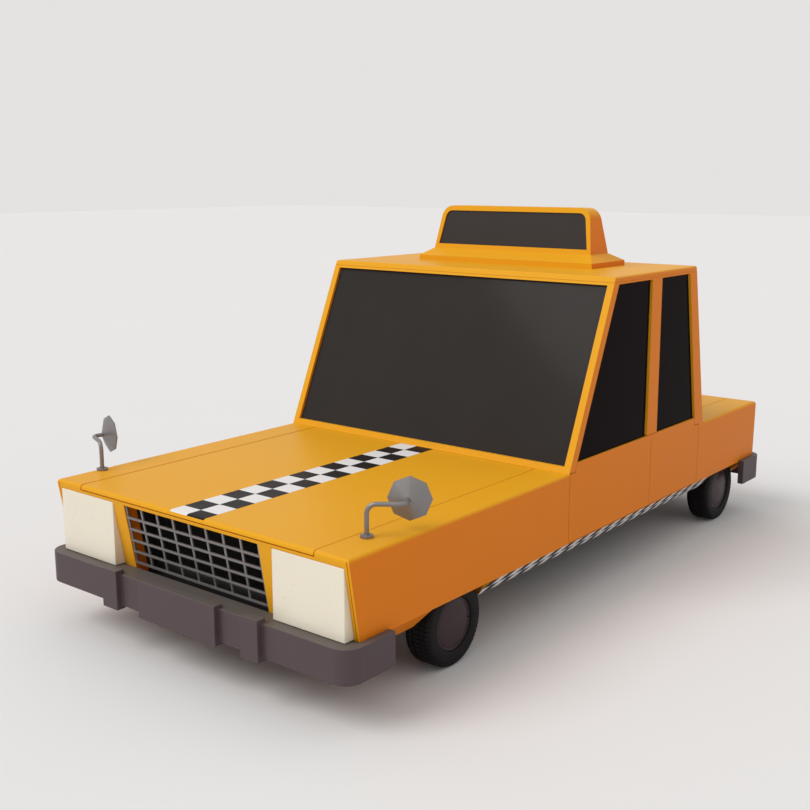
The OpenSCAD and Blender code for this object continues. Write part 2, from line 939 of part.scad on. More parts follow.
module floor_pan() {
    floor_back_y = rear_wall_y - bulkhead_t;
    boot_back_y = tail_at(low_z) - panel_depth - 1;
    color(under_paint) {
        difference() {
            union() {
                block(
                    [-sill_inner_x, scuttle_back_y, floor_z],
                    [sill_inner_x, floor_back_y, floor_z + floor_t]
                );
                block(
                    [-tunnel_half_w - 15, scuttle_back_y, floor_z],
                    [tunnel_half_w + 15, floor_back_y, tunnel_top_z + 15]
                );
            }
            block(
                [-tunnel_half_w, scuttle_back_y - 1, floor_z - 1],
                [tunnel_half_w, floor_back_y + 1, tunnel_top_z]
            );
        }
        block([-boot_side_x, rear_wall_y, boot_floor_z], [boot_side_x, boot_back_y, boot_floor_z + 15]);
        both_sides() {
            block([rail_x[0], nose_y(floor_z) + panel_depth, rail_z[0]], [rail_x[1], scuttle_y, rail_z[1]]);
            block([rail_x[0], rear_wall_y, rear_rail_low_z], [rail_x[1], boot_back_y, boot_floor_z]);
        }
        tow_lug();
    }
}

engine_y = [-1700, -900];
spring_y = [rear_axle_y - 430, rear_axle_y + 290];
spring_z = 245;

module engine() {
    color(steel)
        block([-260, engine_y[0], 300], [260, engine_y[1], 680]);
}

// Straight round pipe between two points that share one x
module pipe(a, b, r) {
    translate(a)
        rotate([atan2(b[2] - a[2], b[1] - a[1]) - 90, 0, 0])
            cylinder(r = r, h = norm(b - a));
}

// Pipe along the right side, lifted over the rear axle, with its silencer under the floor
module exhaust() {
    pipe_r = 24;
    route = [
        [-330, -1000, 250], [-330, rear_axle_y - 260, 250], [-330, rear_axle_y - 130, 302],
        [-330, rear_axle_y + 130, 302], [-330, rear_axle_y + 260, 250], [-330, 2085, 250]
    ];
    color(steel) {
        for (i = [0 : len(route) - 2])
            pipe(route[i], route[i + 1], pipe_r);
        // swollen bends
        for (i = [1 : len(route) - 2])
            translate(route[i])
                sphere(r = pipe_r + 3);
        pipe([-330, 600, 250], [-330, 1020, 250], 34);
    }
}

kingpin_r = 16;
spindle_r = 20;
wheel_boss_x = [800, 905];

module front_axle() {
    color(under_paint)
        difference() {
            union() {
                block([-700, front_axle_y - 35, 190], [700, front_axle_y + 35, 240]);
                both_sides() {
                    block([680, front_axle_y - 30, 107], [705, front_axle_y + 30, 317]);
                    for (z = [107, 287]) {
                        block([690, front_axle_y - 30, z], [kingpin_x, front_axle_y + 30, z + 30]);
                        translate([kingpin_x, front_axle_y, z])
                            cylinder(r = 30, h = 30);
                    }
                    block([rail_x[0], front_axle_y - 30, 239], [rail_x[1], front_axle_y + 30, rail_z[0]]);
                }
            }
            both_sides()
                translate([kingpin_x, front_axle_y, 100])
                    cylinder(r = kingpin_r + 0.06, h = 230);
        }
}

module knuckle(side) {
    color(steel)
        on_side(side)
            translate([kingpin_x, front_axle_y, 0]) {
                translate([0, 0, 102])
                    cylinder(r = kingpin_r, h = 220);
                translate([0, 0, 142])
                    cylinder(r = 28, h = 140);
                translate([0, 0, hub_z])
                    rotate([0, 90, 0])
                        cylinder(r = spindle_r, h = wheel_boss_x[1] - kingpin_x - 5);
            }
}

module rear_axle() {
    color(under_paint) {
        both_sides() {
            translate([0, rear_axle_y, hub_z])
                rotate([0, 90, 0])
                    cylinder(r = 36, h = 780);
            translate([779, rear_axle_y, hub_z])
                rotate([0, 90, 0])
                    cylinder(r = spindle_r, h = wheel_boss_x[1] - 784);
            // leaf spring and its two hangers
            block([rail_x[0], spring_y[0], spring_z], [rail_x[1], spring_y[1], spring_z + 15]);
            for (y = [spring_y[0], spring_y[1] - 30])
                block([rail_x[0], y, spring_z], [rail_x[1], y + 30, rear_rail_low_z]);
        }
        translate([0, rear_axle_y, hub_z])
            sphere(r = 105);
        // propeller shaft, from behind the engine into the final drive
        pipe([0, engine_y[1] + 4, 330], [0, rear_axle_y, hub_z], 32);
    }
}

// ---- wheels -----------------------------------------------------------------------------

module wheel_shape() {
    inner_x = tyre_face_x - tyre_w;
    translate([0, 0, hub_z])
        rotate([0, 90, 0])
            difference() {
                rotate_extrude()
                    polygon([
                        [0, wheel_boss_x[0]], [44, wheel_boss_x[0]], [44, 895], [118, 895],
                        [118, inner_x + 6], [disc_r, inner_x + 6], [disc_r, tyre_face_x - 12],
                        [disc_r - 8, tyre_face_x - 4], [0, tyre_face_x - 4]
                    ]);
                translate([0, 0, wheel_boss_x[0] - 1])
                    cylinder(r = spindle_r + 0.06, h = wheel_boss_x[1] - wheel_boss_x[0] + 1);
            }
}

module tyre_shape() {
    inner_x = tyre_face_x - tyre_w;
    shoulder = 26;
    wall_r = disc_r + 0.3;
    translate([0, 0, hub_z])
        rotate([0, 90, 0])
            rotate_extrude($fn = 96)
                union() {
                    translate([wall_r, inner_x])
                        square([tyre_r - shoulder - wall_r, tyre_w]);
                    translate([wall_r, inner_x + shoulder])
                        square([tyre_r - wall_r, tyre_w - 2 * shoulder]);
                    for (x = [inner_x + shoulder, tyre_face_x - shoulder])
                        translate([tyre_r - shoulder, x])
                            circle(shoulder);
                }
}

module wheel(side, axle_y) {
    color([0.21, 0.15, 0.17])
        on_side(side)
            translate([0, axle_y, 0])
                wheel_shape();
}

module tyre(side, axle_y) {
    color(rubber)
        on_side(side)
            translate([0, axle_y, 0])
                tyre_shape();
}

floor_pan();
sills();
front_wings();
nose_panel();
cabin_frame();
roof_panel();
rear_wings();
tail_panel();
fixed_glass();
headlights();
tail_lamps();
grille();
radiator();
bumpers();
mirrors();
roof_sign();
sign_panels();
dashboard();
front_seats();
rear_seat();
engine();
exhaust();
front_axle();
rear_axle();
bonnet();
boot_lid();
front_door(1);  // front_door_left
front_door(-1);  // front_door_right
rear_door(1);  // rear_door_left
rear_door(-1);  // rear_door_right
front_glass(1);  // front_glass_left
front_glass(-1);  // front_glass_right
rear_glass(1);  // rear_glass_left
rear_glass(-1);  // rear_glass_right
knuckle(1);  // knuckle_left
knuckle(-1);  // knuckle_right
wheel(1, front_axle_y);  // front_wheel_left
wheel(-1, front_axle_y);  // front_wheel_right
wheel(1, rear_axle_y);  // rear_wheel_left
wheel(-1, rear_axle_y);  // rear_wheel_right
tyre(1, front_axle_y);  // front_tyre_left
tyre(-1, front_axle_y);  // front_tyre_right
tyre(1, rear_axle_y);  // rear_tyre_left
tyre(-1, rear_axle_y);  // rear_tyre_right
steering_wheel();
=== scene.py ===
"""Looks of a four-door taxi cab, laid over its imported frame.

Metres. +Z is up, the nose points along -Y and +X is the cab's left side.
"""

import json
import math

import bmesh
import bpy
from bpy.props import FloatProperty, FloatVectorProperty, IntProperty, PointerProperty
from mathutils import Matrix, Vector
from mathutils.bvhtree import BVHTree

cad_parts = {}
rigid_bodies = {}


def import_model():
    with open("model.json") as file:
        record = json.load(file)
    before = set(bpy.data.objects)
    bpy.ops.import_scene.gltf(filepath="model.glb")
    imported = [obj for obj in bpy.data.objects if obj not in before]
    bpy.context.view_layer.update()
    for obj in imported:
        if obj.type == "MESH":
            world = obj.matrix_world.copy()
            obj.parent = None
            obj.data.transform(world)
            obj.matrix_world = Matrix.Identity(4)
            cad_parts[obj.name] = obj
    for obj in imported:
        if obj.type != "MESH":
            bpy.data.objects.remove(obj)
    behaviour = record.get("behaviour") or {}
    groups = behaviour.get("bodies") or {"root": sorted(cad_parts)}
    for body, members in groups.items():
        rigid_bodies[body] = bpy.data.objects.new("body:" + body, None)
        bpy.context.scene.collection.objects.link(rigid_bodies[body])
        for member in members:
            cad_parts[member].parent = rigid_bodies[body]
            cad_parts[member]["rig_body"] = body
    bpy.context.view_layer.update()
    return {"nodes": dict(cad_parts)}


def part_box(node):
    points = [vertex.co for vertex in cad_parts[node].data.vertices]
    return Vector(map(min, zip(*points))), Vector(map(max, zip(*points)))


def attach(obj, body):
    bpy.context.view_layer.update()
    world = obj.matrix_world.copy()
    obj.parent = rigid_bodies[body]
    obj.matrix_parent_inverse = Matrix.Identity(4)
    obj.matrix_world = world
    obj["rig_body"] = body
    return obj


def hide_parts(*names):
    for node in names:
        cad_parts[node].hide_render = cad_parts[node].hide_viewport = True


bl_info = {
    "name": "Taxi Cab Looks",
    "version": (1, 0, 0),
    "blender": (4, 5, 0),
    "location": "View3D > Sidebar > Taxi Cab",
    "description": "Finishes, checker film, seats, trim and stage for the taxi cab",
    "category": "Object",
}

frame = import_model()
MIDDLE = "body"
SIDES = {"left": 1, "right": -1}


def box_of(node):
    """Lowest and highest corner of a CAD node at rest."""
    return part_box(node)


# ---- settings ---------------------------------------------------------------------------


def colour(name, description, default):
    return FloatVectorProperty(
        name=name, description=description, default=default, subtype="COLOR", size=3, min=0, max=1
    )


def length(name, description, default):
    return FloatProperty(
        name=name, description=description, default=default, subtype="DISTANCE", unit="LENGTH",
        min=0, precision=4,
    )


class CabFinishes(bpy.types.PropertyGroup):
    """Colours of the cab"""

    # These two colours are a shaded and a lit copy of one paint: painted light, with the lit one on faces
    # that look up or forwards.
    paint: colour("Paint", "Body paint on upright faces", (0.76, 0.205, 0.008))
    paint_bleached: colour("Lit paint", "Body paint on faces that look up", (0.80, 0.375, 0.014))
    film_light: colour("Light squares", "Light squares of the checker film", (0.80, 0.77, 0.76))
    film_dark: colour("Dark squares", "Dark squares of the checker film", (0.018, 0.014, 0.014))
    # The screen glass's tint is lighter than the side glass's partly as painted reflection: it stands in for
    # sky light that its low index and sheen no longer reflect.
    glass: colour("Screen glass", "Tint of the windscreen and the rear window", (0.049, 0.044, 0.041))
    side_glass: colour("Side glass", "Tint of the side windows", (0.010, 0.005, 0.006))
    lens: colour("Head lamp", "Lens blocks of the head lamps", (0.83, 0.76, 0.62))
    tail_lens: colour("Tail lamp", "Red lenses of the tail lamps", (0.42, 0.018, 0.012))
    amber_lens: colour("Indicator", "Amber lenses of the tail lamps", (0.70, 0.22, 0.015))
    # These two colours are a shaded and a lit copy of one plastic: painted light, with the lit one on faces
    # that look up.
    bumper: colour("Bumper", "Moulded bumper bars", (0.085, 0.058, 0.064))
    bumper_bleached: colour("Lit bumper", "Bumper bars on faces that look up", (0.130, 0.115, 0.098))
    metal: colour("Metal", "Grille bars and mirror stalks", (0.235, 0.220, 0.215))
    panel: colour("Sign panel", "Blank panels of the roof sign", (0.030, 0.024, 0.022))
    disc: colour("Wheel disc", "Painted wheel discs", (0.036, 0.017, 0.022))
    rubber: colour("Rubber", "Tyres and seals", (0.006, 0.0045, 0.005))
    seat: colour("Seat cover", "Leather of the seats", (0.075, 0.060, 0.055))
    trim: colour("Trim", "Moulded dashboard and door linings", (0.055, 0.050, 0.048))
    carpet: colour("Carpet", "Floor covering", (0.045, 0.040, 0.042))
    lining: colour("Headlining", "Cloth under the roof", (0.42, 0.39, 0.34))
    chassis: colour("Chassis", "Paint of the floor and the axles", (0.030, 0.028, 0.028))
    iron: colour("Iron", "Engine and knuckles", (0.115, 0.115, 0.120))
    pipe: colour("Exhaust", "Exhaust pipe", (0.250, 0.225, 0.200))


class CabSizes(bpy.types.PropertyGroup):
    """Sizes of the details"""

    edge_radius: length("Edge radius", "Rounding of the panels' edges", 0.003)
    bar_edge: length("Bar edge", "Rounding of the bumper bars", 0.005)
    film_thickness: length("Film", "Thickness of the checker film", 0.0006)
    stripe_square: length("Stripe square", "Width of a square on the bonnet", 0.117)
    stripe_pitch: length("Stripe pitch", "Length of a square on the bonnet", 0.1155)
    tread_depth: length("Tread depth", "Height of the tread blocks", 0.006)
    tread_pitches: IntProperty(name="Tread pitches", description="Blocks round a tyre", default=58, min=20)
    rib_width: length("Rib width", "Width of the ribs inside the lids", 0.075)
    rib_depth: length("Rib depth", "Depth of the ribs inside the lids", 0.009)
    fin_pitch: length("Fin pitch", "Distance between the radiator's fins", 0.006)
    voxel: length("Voxel", "Grid that the seat pads are remeshed on", 0.0114)
    pad_swell: length("Swell", "Furthest that a seat pad may swell", 0.014)
    pad_pressure: FloatProperty(name="Pressure", description="Pressure in the seat pads", default=4, min=0)
    channel_depth: length("Channel depth", "Depth of the sewn channels", 0.009)
    channel_pitch: length("Channel pitch", "Distance between sewn channels", 0.074)
    stitch_pitch: length("Stitch pitch", "Distance between stitches", 0.009)


class CabStage(bpy.types.PropertyGroup):
    """Floor, light and camera"""

    floor: colour("Floor", "Floor and backdrop", (0.80, 0.79, 0.78))
    fill: FloatProperty(name="Fill", description="Strength of the light from all round", default=0.60, min=0)
    key: FloatProperty(name="Key", description="Strength of the main lamp", default=1.45, min=0)
    top: FloatProperty(name="Top", description="Strength of the lamp overhead", default=0.25, min=0)
    backdrop: colour("Backdrop", "Backdrop as the camera sees it", (0.775, 0.765, 0.755))
    camera_place: FloatVectorProperty(
        name="Camera", description="Place of the camera", default=(3.886, -5.322, 2.287),
        subtype="TRANSLATION", unit="LENGTH",
    )
    camera_turn: FloatVectorProperty(
        name="Camera turn", description="Turn of the camera", subtype="EULER", unit="ROTATION",
        default=(math.radians(78.477), 0, math.radians(38.886)),
    )
    lens: FloatProperty(name="Lens", description="Focal length", default=50, min=10, unit="CAMERA")


# ---- node trees -------------------------------------------------------------------------


def add(tree, kind, inputs=None, **settings):
    """A node of that kind; an input is a socket to link, or a value to set, by identifier or name."""
    node = tree.nodes.new(kind)
    for key, value in settings.items():
        setattr(node, key, value)
    for key, value in (inputs or {}).items():
        put(tree, node, key, value)
    return node


def put(tree, node, key, value):
    """Sets or links one input of a node."""
    socket = next(s for s in node.inputs if key in (s.identifier, s.name))
    if isinstance(value, bpy.types.NodeSocket):
        tree.links.new(value, socket)
    elif socket.type == "RGBA" and len(value) == 3:
        socket.default_value = (*value, 1)
    else:
        socket.default_value = value


def shader_of(tree):
    return tree.nodes["Principled BSDF"]


def dress(tree, **sockets):
    """Sets or links the shader's sockets; an underscore in a key stands for a space."""
    for key, value in sockets.items():
        put(tree, shader_of(tree), key.replace("_", " "), value)


def place_of(tree):
    return add(tree, "ShaderNodeTexCoord").outputs["Object"]


def noise(tree, scale, detail=3.0, vector=None, roughness=0.5):
    source = place_of(tree) if vector is None else vector
    node = add(
        tree, "ShaderNodeTexNoise",
        {"Vector": source, "Scale": scale, "Detail": detail, "Roughness": roughness},
    )
    return node.outputs["Fac"]


def between(tree, value, low, high, start=0.0, end=1.0):
    """Maps value from start..end to low..high."""
    node = add(
        tree, "ShaderNodeMapRange",
        {"Value": value, "From Min": start, "From Max": end, "To Min": low, "To Max": high},
    )
    return node.outputs["Result"]


def mixed(tree, factor, a, b):
    node = add(
        tree, "ShaderNodeMix", {"Factor_Float": factor, "A_Color": a, "B_Color": b}, data_type="RGBA"
    )
    return next(s for s in node.outputs if s.identifier == "Result_Color")


def maths(tree, operation, a, b, clamp=False):
    settings = {"operation": operation, "use_clamp": clamp}
    return add(tree, "ShaderNodeMath", {"Value": a, "Value_001": b}, **settings).outputs[0]


def waves(tree, scale, way, distortion=0.0):
    """Ribs that follow each other along one axis."""
    node = add(
        tree, "ShaderNodeTexWave", {"Vector": place_of(tree), "Scale": scale, "Distortion": distortion},
        wave_type="BANDS", bands_direction=way,
    )
    return node.outputs["Fac"]


def cells(tree, scale):
    """Distance from the heart of the nearest small cell."""
    node = add(tree, "ShaderNodeTexVoronoi", {"Vector": place_of(tree), "Scale": scale}, feature="F1")
    return node.outputs["Distance"]


def facing(tree, direction):
    """How far a face looks along a direction of its own piece, from -1 to 1."""
    look = add(tree, "ShaderNodeTexCoord").outputs["Normal"]
    return add(
        tree, "ShaderNodeVectorMath", {"Vector": look, "Vector_001": Vector(direction).normalized()},
        operation="DOT_PRODUCT",
    ).outputs["Value"]


def lifted(tree, height, strength, distance, normal=None):
    inputs = {"Height": height, "Strength": strength, "Distance": distance}
    if normal is not None:
        inputs["Normal"] = normal
    return add(tree, "ShaderNodeBump", inputs).outputs["Normal"]


def shade(base, share):
    """A colour made lighter or darker by a share of itself."""
    return tuple(min(1.0, c * (1 + share)) for c in base)


def wandering(tree, factor, base, darker, lighter):
    """A colour that wanders from a darker to a lighter shade of itself."""
    return mixed(tree, factor, shade(base, -darker), shade(base, lighter))


# ---- finishes ---------------------------------------------------------------------------


def colours():
    return bpy.context.scene.cab_finishes


def tint(source):
    """A colour setting by its name, or a fixed colour as it is."""
    return getattr(colours(), source) if isinstance(source, str) else source


def lit_and_shaded(tree, base, pale, bleach, cloud):
    """Painted light: a colour that turns from its shaded copy to its lit copy by a share of light, which
    clouds make uneven.
    """
    return mixed(tree, maths(tree, "ADD", bleach, cloud, clamp=True), tint(base), tint(pale))


def body_paint(tree):
    """Satin paint with painted light, lighter and yellower on the faces that look up or forwards, roughly
    towards the key lamp, with a faint orange peel.
    """
    cloud = between(tree, noise(tree, 1.7, 4), -0.09, 0.09)
    # painted light: the share of the lit paint grows as a face turns up and forwards, roughly towards the key
    # lamp
    bleach = between(tree, facing(tree, (0, -0.72, 0.69)), 0.0, 1.0, 0.10, 0.62)
    dress(
        tree,
        Base_Color=lit_and_shaded(tree, "paint", "paint_bleached", bleach, cloud),
        Roughness=between(tree, noise(tree, 9, 6), 0.36, 0.46),
        Normal=lifted(tree, noise(tree, 420, 2), 0.05, 0.0004),
        Specular_IOR_Level=0.10,
    )


def bumper_mould(tree):
    """Moulded plastic with a fine grain, with painted light: lighter on the faces that look up."""
    cloud = between(tree, noise(tree, 5, 4), -0.06, 0.10)
    # painted light: the share of the lit bumper colour grows as a face turns up
    bleach = between(tree, facing(tree, (0, 0, 1)), 0.0, 0.75, 0.3, 0.95)
    dress(
        tree,
        Base_Color=lit_and_shaded(tree, "bumper", "bumper_bleached", bleach, cloud),
        Roughness=between(tree, noise(tree, 12, 5), 0.44, 0.56),
        Normal=lifted(tree, noise(tree, 520, 3), 0.16, 0.0006),
        Specular_IOR_Level=0.25,
    )


def dark_glass(source, sheen, index):
    """Dark glass with a faint unevenness; index is its index of refraction."""
    def build(tree):
        dress(
            tree,
            Base_Color=wandering(tree, noise(tree, 3, 2), tint(source), 0.1, 0.1),
            Roughness=between(tree, noise(tree, 14, 5), 0.08, 0.14),
            Normal=lifted(tree, noise(tree, 5, 1), 0.02, 0.002),
            IOR=index,
            Transmission_Weight=0.3,
            Specular_IOR_Level=sheen,
        )
    return build


def lens_block(source, glow):
    """Milky plastic with fine upright ribs under a clear coat."""
    def build(tree):
        dress(
            tree,
            Base_Color=wandering(tree, noise(tree, 5, 3), tint(source), 0.03, 0.03),
            Roughness=between(tree, noise(tree, 20, 4), 0.24, 0.34),
            Normal=lifted(tree, waves(tree, 26.0, "X"), 0.08, 0.0008),
            Subsurface_Weight=glow,
            Subsurface_Scale=0.02,
            Coat_Weight=0.3,
            Coat_Roughness=0.1,
        )
    return build


def satin_metal(tree):
    """Grey metal with fine brush marks along X."""
    marks = add(tree, "ShaderNodeMapping", {"Vector": place_of(tree), "Scale": (20.0, 600.0, 600.0)})
    brushed = noise(tree, 1.0, 3, marks.outputs["Vector"])
    dress(
        tree,
        Base_Color=wandering(tree, noise(tree, 7, 4), tint("metal"), 0.1, 0.12),
        Metallic=0.55,
        Roughness=between(tree, brushed, 0.34, 0.5),
        Normal=lifted(tree, brushed, 0.06, 0.0004),
    )


def leather(tree):
    """Leather: pebbles over creases, worn smoother in patches."""
    wear = between(tree, noise(tree, 6, 4), 0, 1, 0.4, 0.75)
    creases = lifted(tree, noise(tree, 60, 5, roughness=0.65), 0.25, 0.0012)
    dress(
        tree,
        Base_Color=wandering(tree, wear, tint("seat"), 0.15, 0.45),
        Roughness=between(tree, wear, 0.52, 0.38),
        Normal=lifted(tree, cells(tree, 420.0), 0.35, 0.0006, creases),
        Sheen_Weight=0.05,
    )


def woven(tree):
    """Cloth: threads that cross at right angles."""
    threads = [waves(tree, 160.0, way, 0.6) for way in ("X", "Y")]
    cross = maths(tree, "MAXIMUM", *threads)
    dress(
        tree,
        # painted shade: the colour is darker where the threads dip, in the gaps between them
        Base_Color=wandering(tree, cross, tint("lining"), 0.3, 0.12),
        Roughness=between(tree, noise(tree, 30, 4), 0.85, 1.0),
        Normal=lifted(tree, cross, 0.35, 0.0012),
        Sheen_Weight=0.25,
    )


def carpet(tree):
    """Short pile in tufts."""
    tufts = cells(tree, 260.0)
    dress(
        tree,
        Base_Color=wandering(tree, noise(tree, 40, 6), tint("carpet"), 0.35, 0.4),
        Roughness=between(tree, tufts, 1.0, 0.88),
        Normal=lifted(tree, tufts, 0.8, 0.003),
        Sheen_Weight=0.4,
    )


def mirror_face(tree):
    """Silvered glass, wiped unevenly."""
    dress(
        tree,
        Base_Color=mixed(tree, noise(tree, 8, 2), (0.72, 0.74, 0.75), (0.80, 0.81, 0.82)),
        Metallic=1.0,
        Roughness=between(tree, noise(tree, 30, 5), 0.03, 0.07),
    )


def cast_pipe(tree):
    """Steel pipe with brown heat stains."""
    stains = between(tree, noise(tree, 4, 5), 0, 1, 0.35, 0.7)
    dress(
        tree,
        Base_Color=mixed(tree, stains, tint("pipe"), (0.13, 0.075, 0.045)),
        Metallic=0.6,
        Roughness=between(tree, stains, 0.42, 0.8),
        Normal=lifted(tree, noise(tree, 240, 4), 0.15, 0.0008),
    )


def plain(source, roughness, grain, strength, wander=0.10, patch=5.0, **sockets):
    """A finish whose colour wanders in patches and whose grain lifts the surface."""
    def build(tree):
        dress(
            tree,
            Base_Color=wandering(tree, noise(tree, patch, 4), tint(source), wander, wander),
            Roughness=between(
                tree, noise(tree, patch * 3, 5), roughness * 0.85, min(1, roughness * 1.15)
            ),
            Normal=lifted(tree, noise(tree, grain, 3), strength, 0.0006),
            **sockets,
        )
    return build


FINISHES = {
    "body_paint": body_paint,
    "film_light": plain("film_light", 0.45, 300, 0.03, wander=0.03, Specular_IOR_Level=0.15),
    "film_dark": plain("film_dark", 0.45, 300, 0.03, wander=0.15, Specular_IOR_Level=0.08),
    # painted reflection: the screen glass gets a lighter tint than the side glass in place of part of its
    # reflection
    "screen_glass": dark_glass("glass", 0.10, 1.20),
    "side_glass": dark_glass("side_glass", 0.05, 1.12),
    "head_lens": lens_block("lens", 0.12),
    "tail_lens": lens_block("tail_lens", 0.05),
    "amber_lens": lens_block("amber_lens", 0.05),
    "bumper_mould": bumper_mould,
    "satin_metal": satin_metal,
    "mirror_face": mirror_face,
    "sign_sheet": plain("panel", 0.42, 260, 0.04, wander=0.08, Specular_IOR_Level=0.25),
    "disc_paint": plain("disc", 0.36, 350, 0.06, wander=0.15, Specular_IOR_Level=0.25),
    "tyre_rubber": plain("rubber", 0.66, 380, 0.25, wander=0.25, patch=12, Specular_IOR_Level=0.2),
    "seat_leather": leather,
    "thread": plain((0.30, 0.26, 0.22), 0.8, 900, 0.3),
    "trim_mould": plain("trim", 0.62, 640, 0.30),
    "carpet_pile": carpet,
    "lining_cloth": woven,
    "chassis_paint": plain("chassis", 0.70, 160, 0.35, wander=0.3),
    "cast_iron": plain("iron", 0.62, 300, 0.5, wander=0.2, Metallic=0.4),
    "machined": plain((0.46, 0.45, 0.44), 0.34, 700, 0.08, Metallic=0.9),
    "pipe_steel": cast_pipe,
    "core_black": plain((0.012, 0.012, 0.013), 0.75, 300, 0.2),
    "dial_face": plain((0.022, 0.022, 0.024), 0.5, 500, 0.05),
    "dial_mark": plain((0.74, 0.72, 0.66), 0.5, 500, 0.05),
    "plate_sheet": plain((0.72, 0.71, 0.66), 0.40, 240, 0.06, wander=0.04),
}


def finish(name):
    """The finish of that name, made the first time that it is asked for."""
    found = bpy.data.materials.get("finish_" + name)
    if found is None:
        found = bpy.data.materials.new("finish_" + name)
        found.use_nodes = True
        FINISHES[name](found.node_tree)
    return found


# ---- mesh parts -------------------------------------------------------------------------


def box_part(low, high, radius=0.0, segments=3):
    """A box from corner to corner, its edges rounded."""
    part = bmesh.new()
    bmesh.ops.create_cube(part, size=1)
    low, high = Vector(low), Vector(high)
    for vertex in part.verts:
        vertex.co = Vector((low[i] + high[i]) / 2 + vertex.co[i] * (high[i] - low[i]) for i in range(3))
    return rounded(part, radius, segments)


def rounded(part, radius, segments=3):
    """Rounds every edge of a part at which its faces turn."""
    if radius > 0:
        edges = [e for e in part.edges if e.is_manifold and e.calc_face_angle(0) > 0]
        bmesh.ops.bevel(
            part, geom=edges, offset=radius, segments=segments, profile=0.5, affect="EDGES",
            clamp_overlap=True,
        )
    return part


def set_along(axis, along, u, v):
    """A point that lies at along on the axis, and at u and v on the other two in their order."""
    return {"X": (along, u, v), "Y": (u, along, v), "Z": (u, v, along)}[axis]


def prism_part(outline, axis, low, high, radius=0.0, segments=3):
    """A flat outline pushed along an axis; X takes (y, z), Y takes (x, z) and Z takes (x, y)."""
    part = bmesh.new()
    rings = [[part.verts.new(set_along(axis, w, u, v)) for u, v in outline] for w in (low, high)]
    count = len(outline)
    part.faces.new(rings[0])
    part.faces.new(reversed(rings[1]))
    for i in range(count):
        j = (i + 1) % count
        part.faces.new((rings[0][j], rings[0][i], rings[1][i], rings[1][j]))
    bmesh.ops.recalc_face_normals(part, faces=part.faces)
    return rounded(part, radius, segments)


def lathe_part(profile, centre=(0, 0, 0), steps=72, axis="X"):
    """A profile of (along, radius) points turned about an axis through centre; radius 0 closes a pole."""
    part = bmesh.new()
    rings = []
    for along, radius in profile:
        turns = [0] if radius == 0 else range(steps)
        ring = []
        for k in turns:
            a = 2 * math.pi * k / steps
            u, v = radius * math.cos(a), radius * math.sin(a)
            ring.append(part.verts.new(Vector(centre) + Vector(set_along(axis, along, u, v))))
        rings.append(ring)
    closed = rings + ([rings[0]] if profile[0][1] > 0 and profile[-1][1] > 0 else [])
    for a, b in zip(closed, closed[1:]):
        bridge(part, a, b, steps)
    bmesh.ops.recalc_face_normals(part, faces=part.faces)
    return part


def bridge(part, a, b, steps):
    """Faces between two rings, either of which may be a single point."""
    for k in range(steps):
        m = (k + 1) % steps
        corners = [a[k % len(a)], a[m % len(a)], b[m % len(b)], b[k % len(b)]]
        part.faces.new(list(dict.fromkeys(corners)))


def tube_part(path, radius, sides=10, closed=False):
    """A round tube along a path of points, capped unless it is closed."""
    part = bmesh.new()
    points = [Vector(p) for p in path]
    count = len(points)
    rings = []
    side = None
    for i, point in enumerate(points):
        before = points[(i - 1) % count] if closed or i else point
        after = points[(i + 1) % count] if closed or i < count - 1 else point
        heading = (after - before).normalized()
        if side is None:
            side = heading.orthogonal().normalized()
        side = (side - heading * side.dot(heading)).normalized()
        other = heading.cross(side)
        angles = [2 * math.pi * k / sides for k in range(sides)]
        rings.append([
            part.verts.new(point + radius * (side * math.cos(a) + other * math.sin(a))) for a in angles
        ])
    for a, b in zip(rings, rings[1:] + ([rings[0]] if closed else [])):
        bridge(part, a, b, sides)
    if not closed:
        part.faces.new(reversed(rings[0]))
        part.faces.new(rings[-1])
    bmesh.ops.recalc_face_normals(part, faces=part.faces)
    return part


def arc(centre, radius, start, end, steps):
    """Points along a flat arc, angles in degrees."""
    angles = [math.radians(start + (end - start) * k / steps) for k in range(steps + 1)]
    return [(centre[0] + radius * math.cos(a), centre[1] + radius * math.sin(a)) for a in angles]


def mirrored(outline):
    """An outline's points on the other side of its second axis, in the order that goes on from it."""
    return [(-u, v) for u, v in reversed(outline)]


def turned(part, matrix):
    bmesh.ops.transform(part, matrix=matrix, verts=part.verts)
    return part


def spun(degrees, axis):
    """A turn about an axis through the origin."""
    return Matrix.Rotation(math.radians(degrees), 4, axis)


def sided(part, side):
    """The part as it is for the left side, or its mirror image for the right side."""
    if side < 0:
        for vertex in part.verts:
            vertex.co.x = -vertex.co.x
        bmesh.ops.reverse_faces(part, faces=part.faces)
    return part


def both_sides(parts):
    """The parts of the left side, and their mirror images."""
    return [*parts, *(sided(part.copy(), -1) for part in parts)]


def joined(name, kinds, sharp=35):
    """One object from parts listed by finish; edges that turn by more than sharp degrees stay crisp."""
    mesh = bpy.data.meshes.new(name)
    whole = bmesh.new()
    for index, parts in enumerate(kinds.values()):
        for part in parts:
            for face in part.faces:
                face.material_index = index
            piece = bpy.data.meshes.new("part")
            part.to_mesh(piece)
            part.free()
            whole.from_mesh(piece)
            bpy.data.meshes.remove(piece)
    whole.to_mesh(mesh)
    whole.free()
    mesh.shade_smooth()
    mesh.set_sharp_from_angle(angle=math.radians(sharp))
    for surface in kinds:
        mesh.materials.append(finish(surface))
    return object_of(name, mesh)


def object_of(name, mesh):
    made = bpy.data.objects.new(name, mesh)
    bpy.context.scene.collection.objects.link(made)
    return made


def baked(obj):
    """Turns an object's modifiers into its plain mesh."""
    depsgraph = bpy.context.evaluated_depsgraph_get()
    mesh = bpy.data.meshes.new_from_object(
        obj.evaluated_get(depsgraph), preserve_all_data_layers=True, depsgraph=depsgraph
    )
    obj.modifiers.clear()
    obj.data = mesh
    return obj


def settled(obj, body, stands_for=()):
    """Rides a finished piece on its body and the nodes that it stands for."""
    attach(obj, body)
    if stands_for:
        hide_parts(*stands_for)
    return obj


def body_of(node):
    return frame["nodes"][node]["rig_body"]


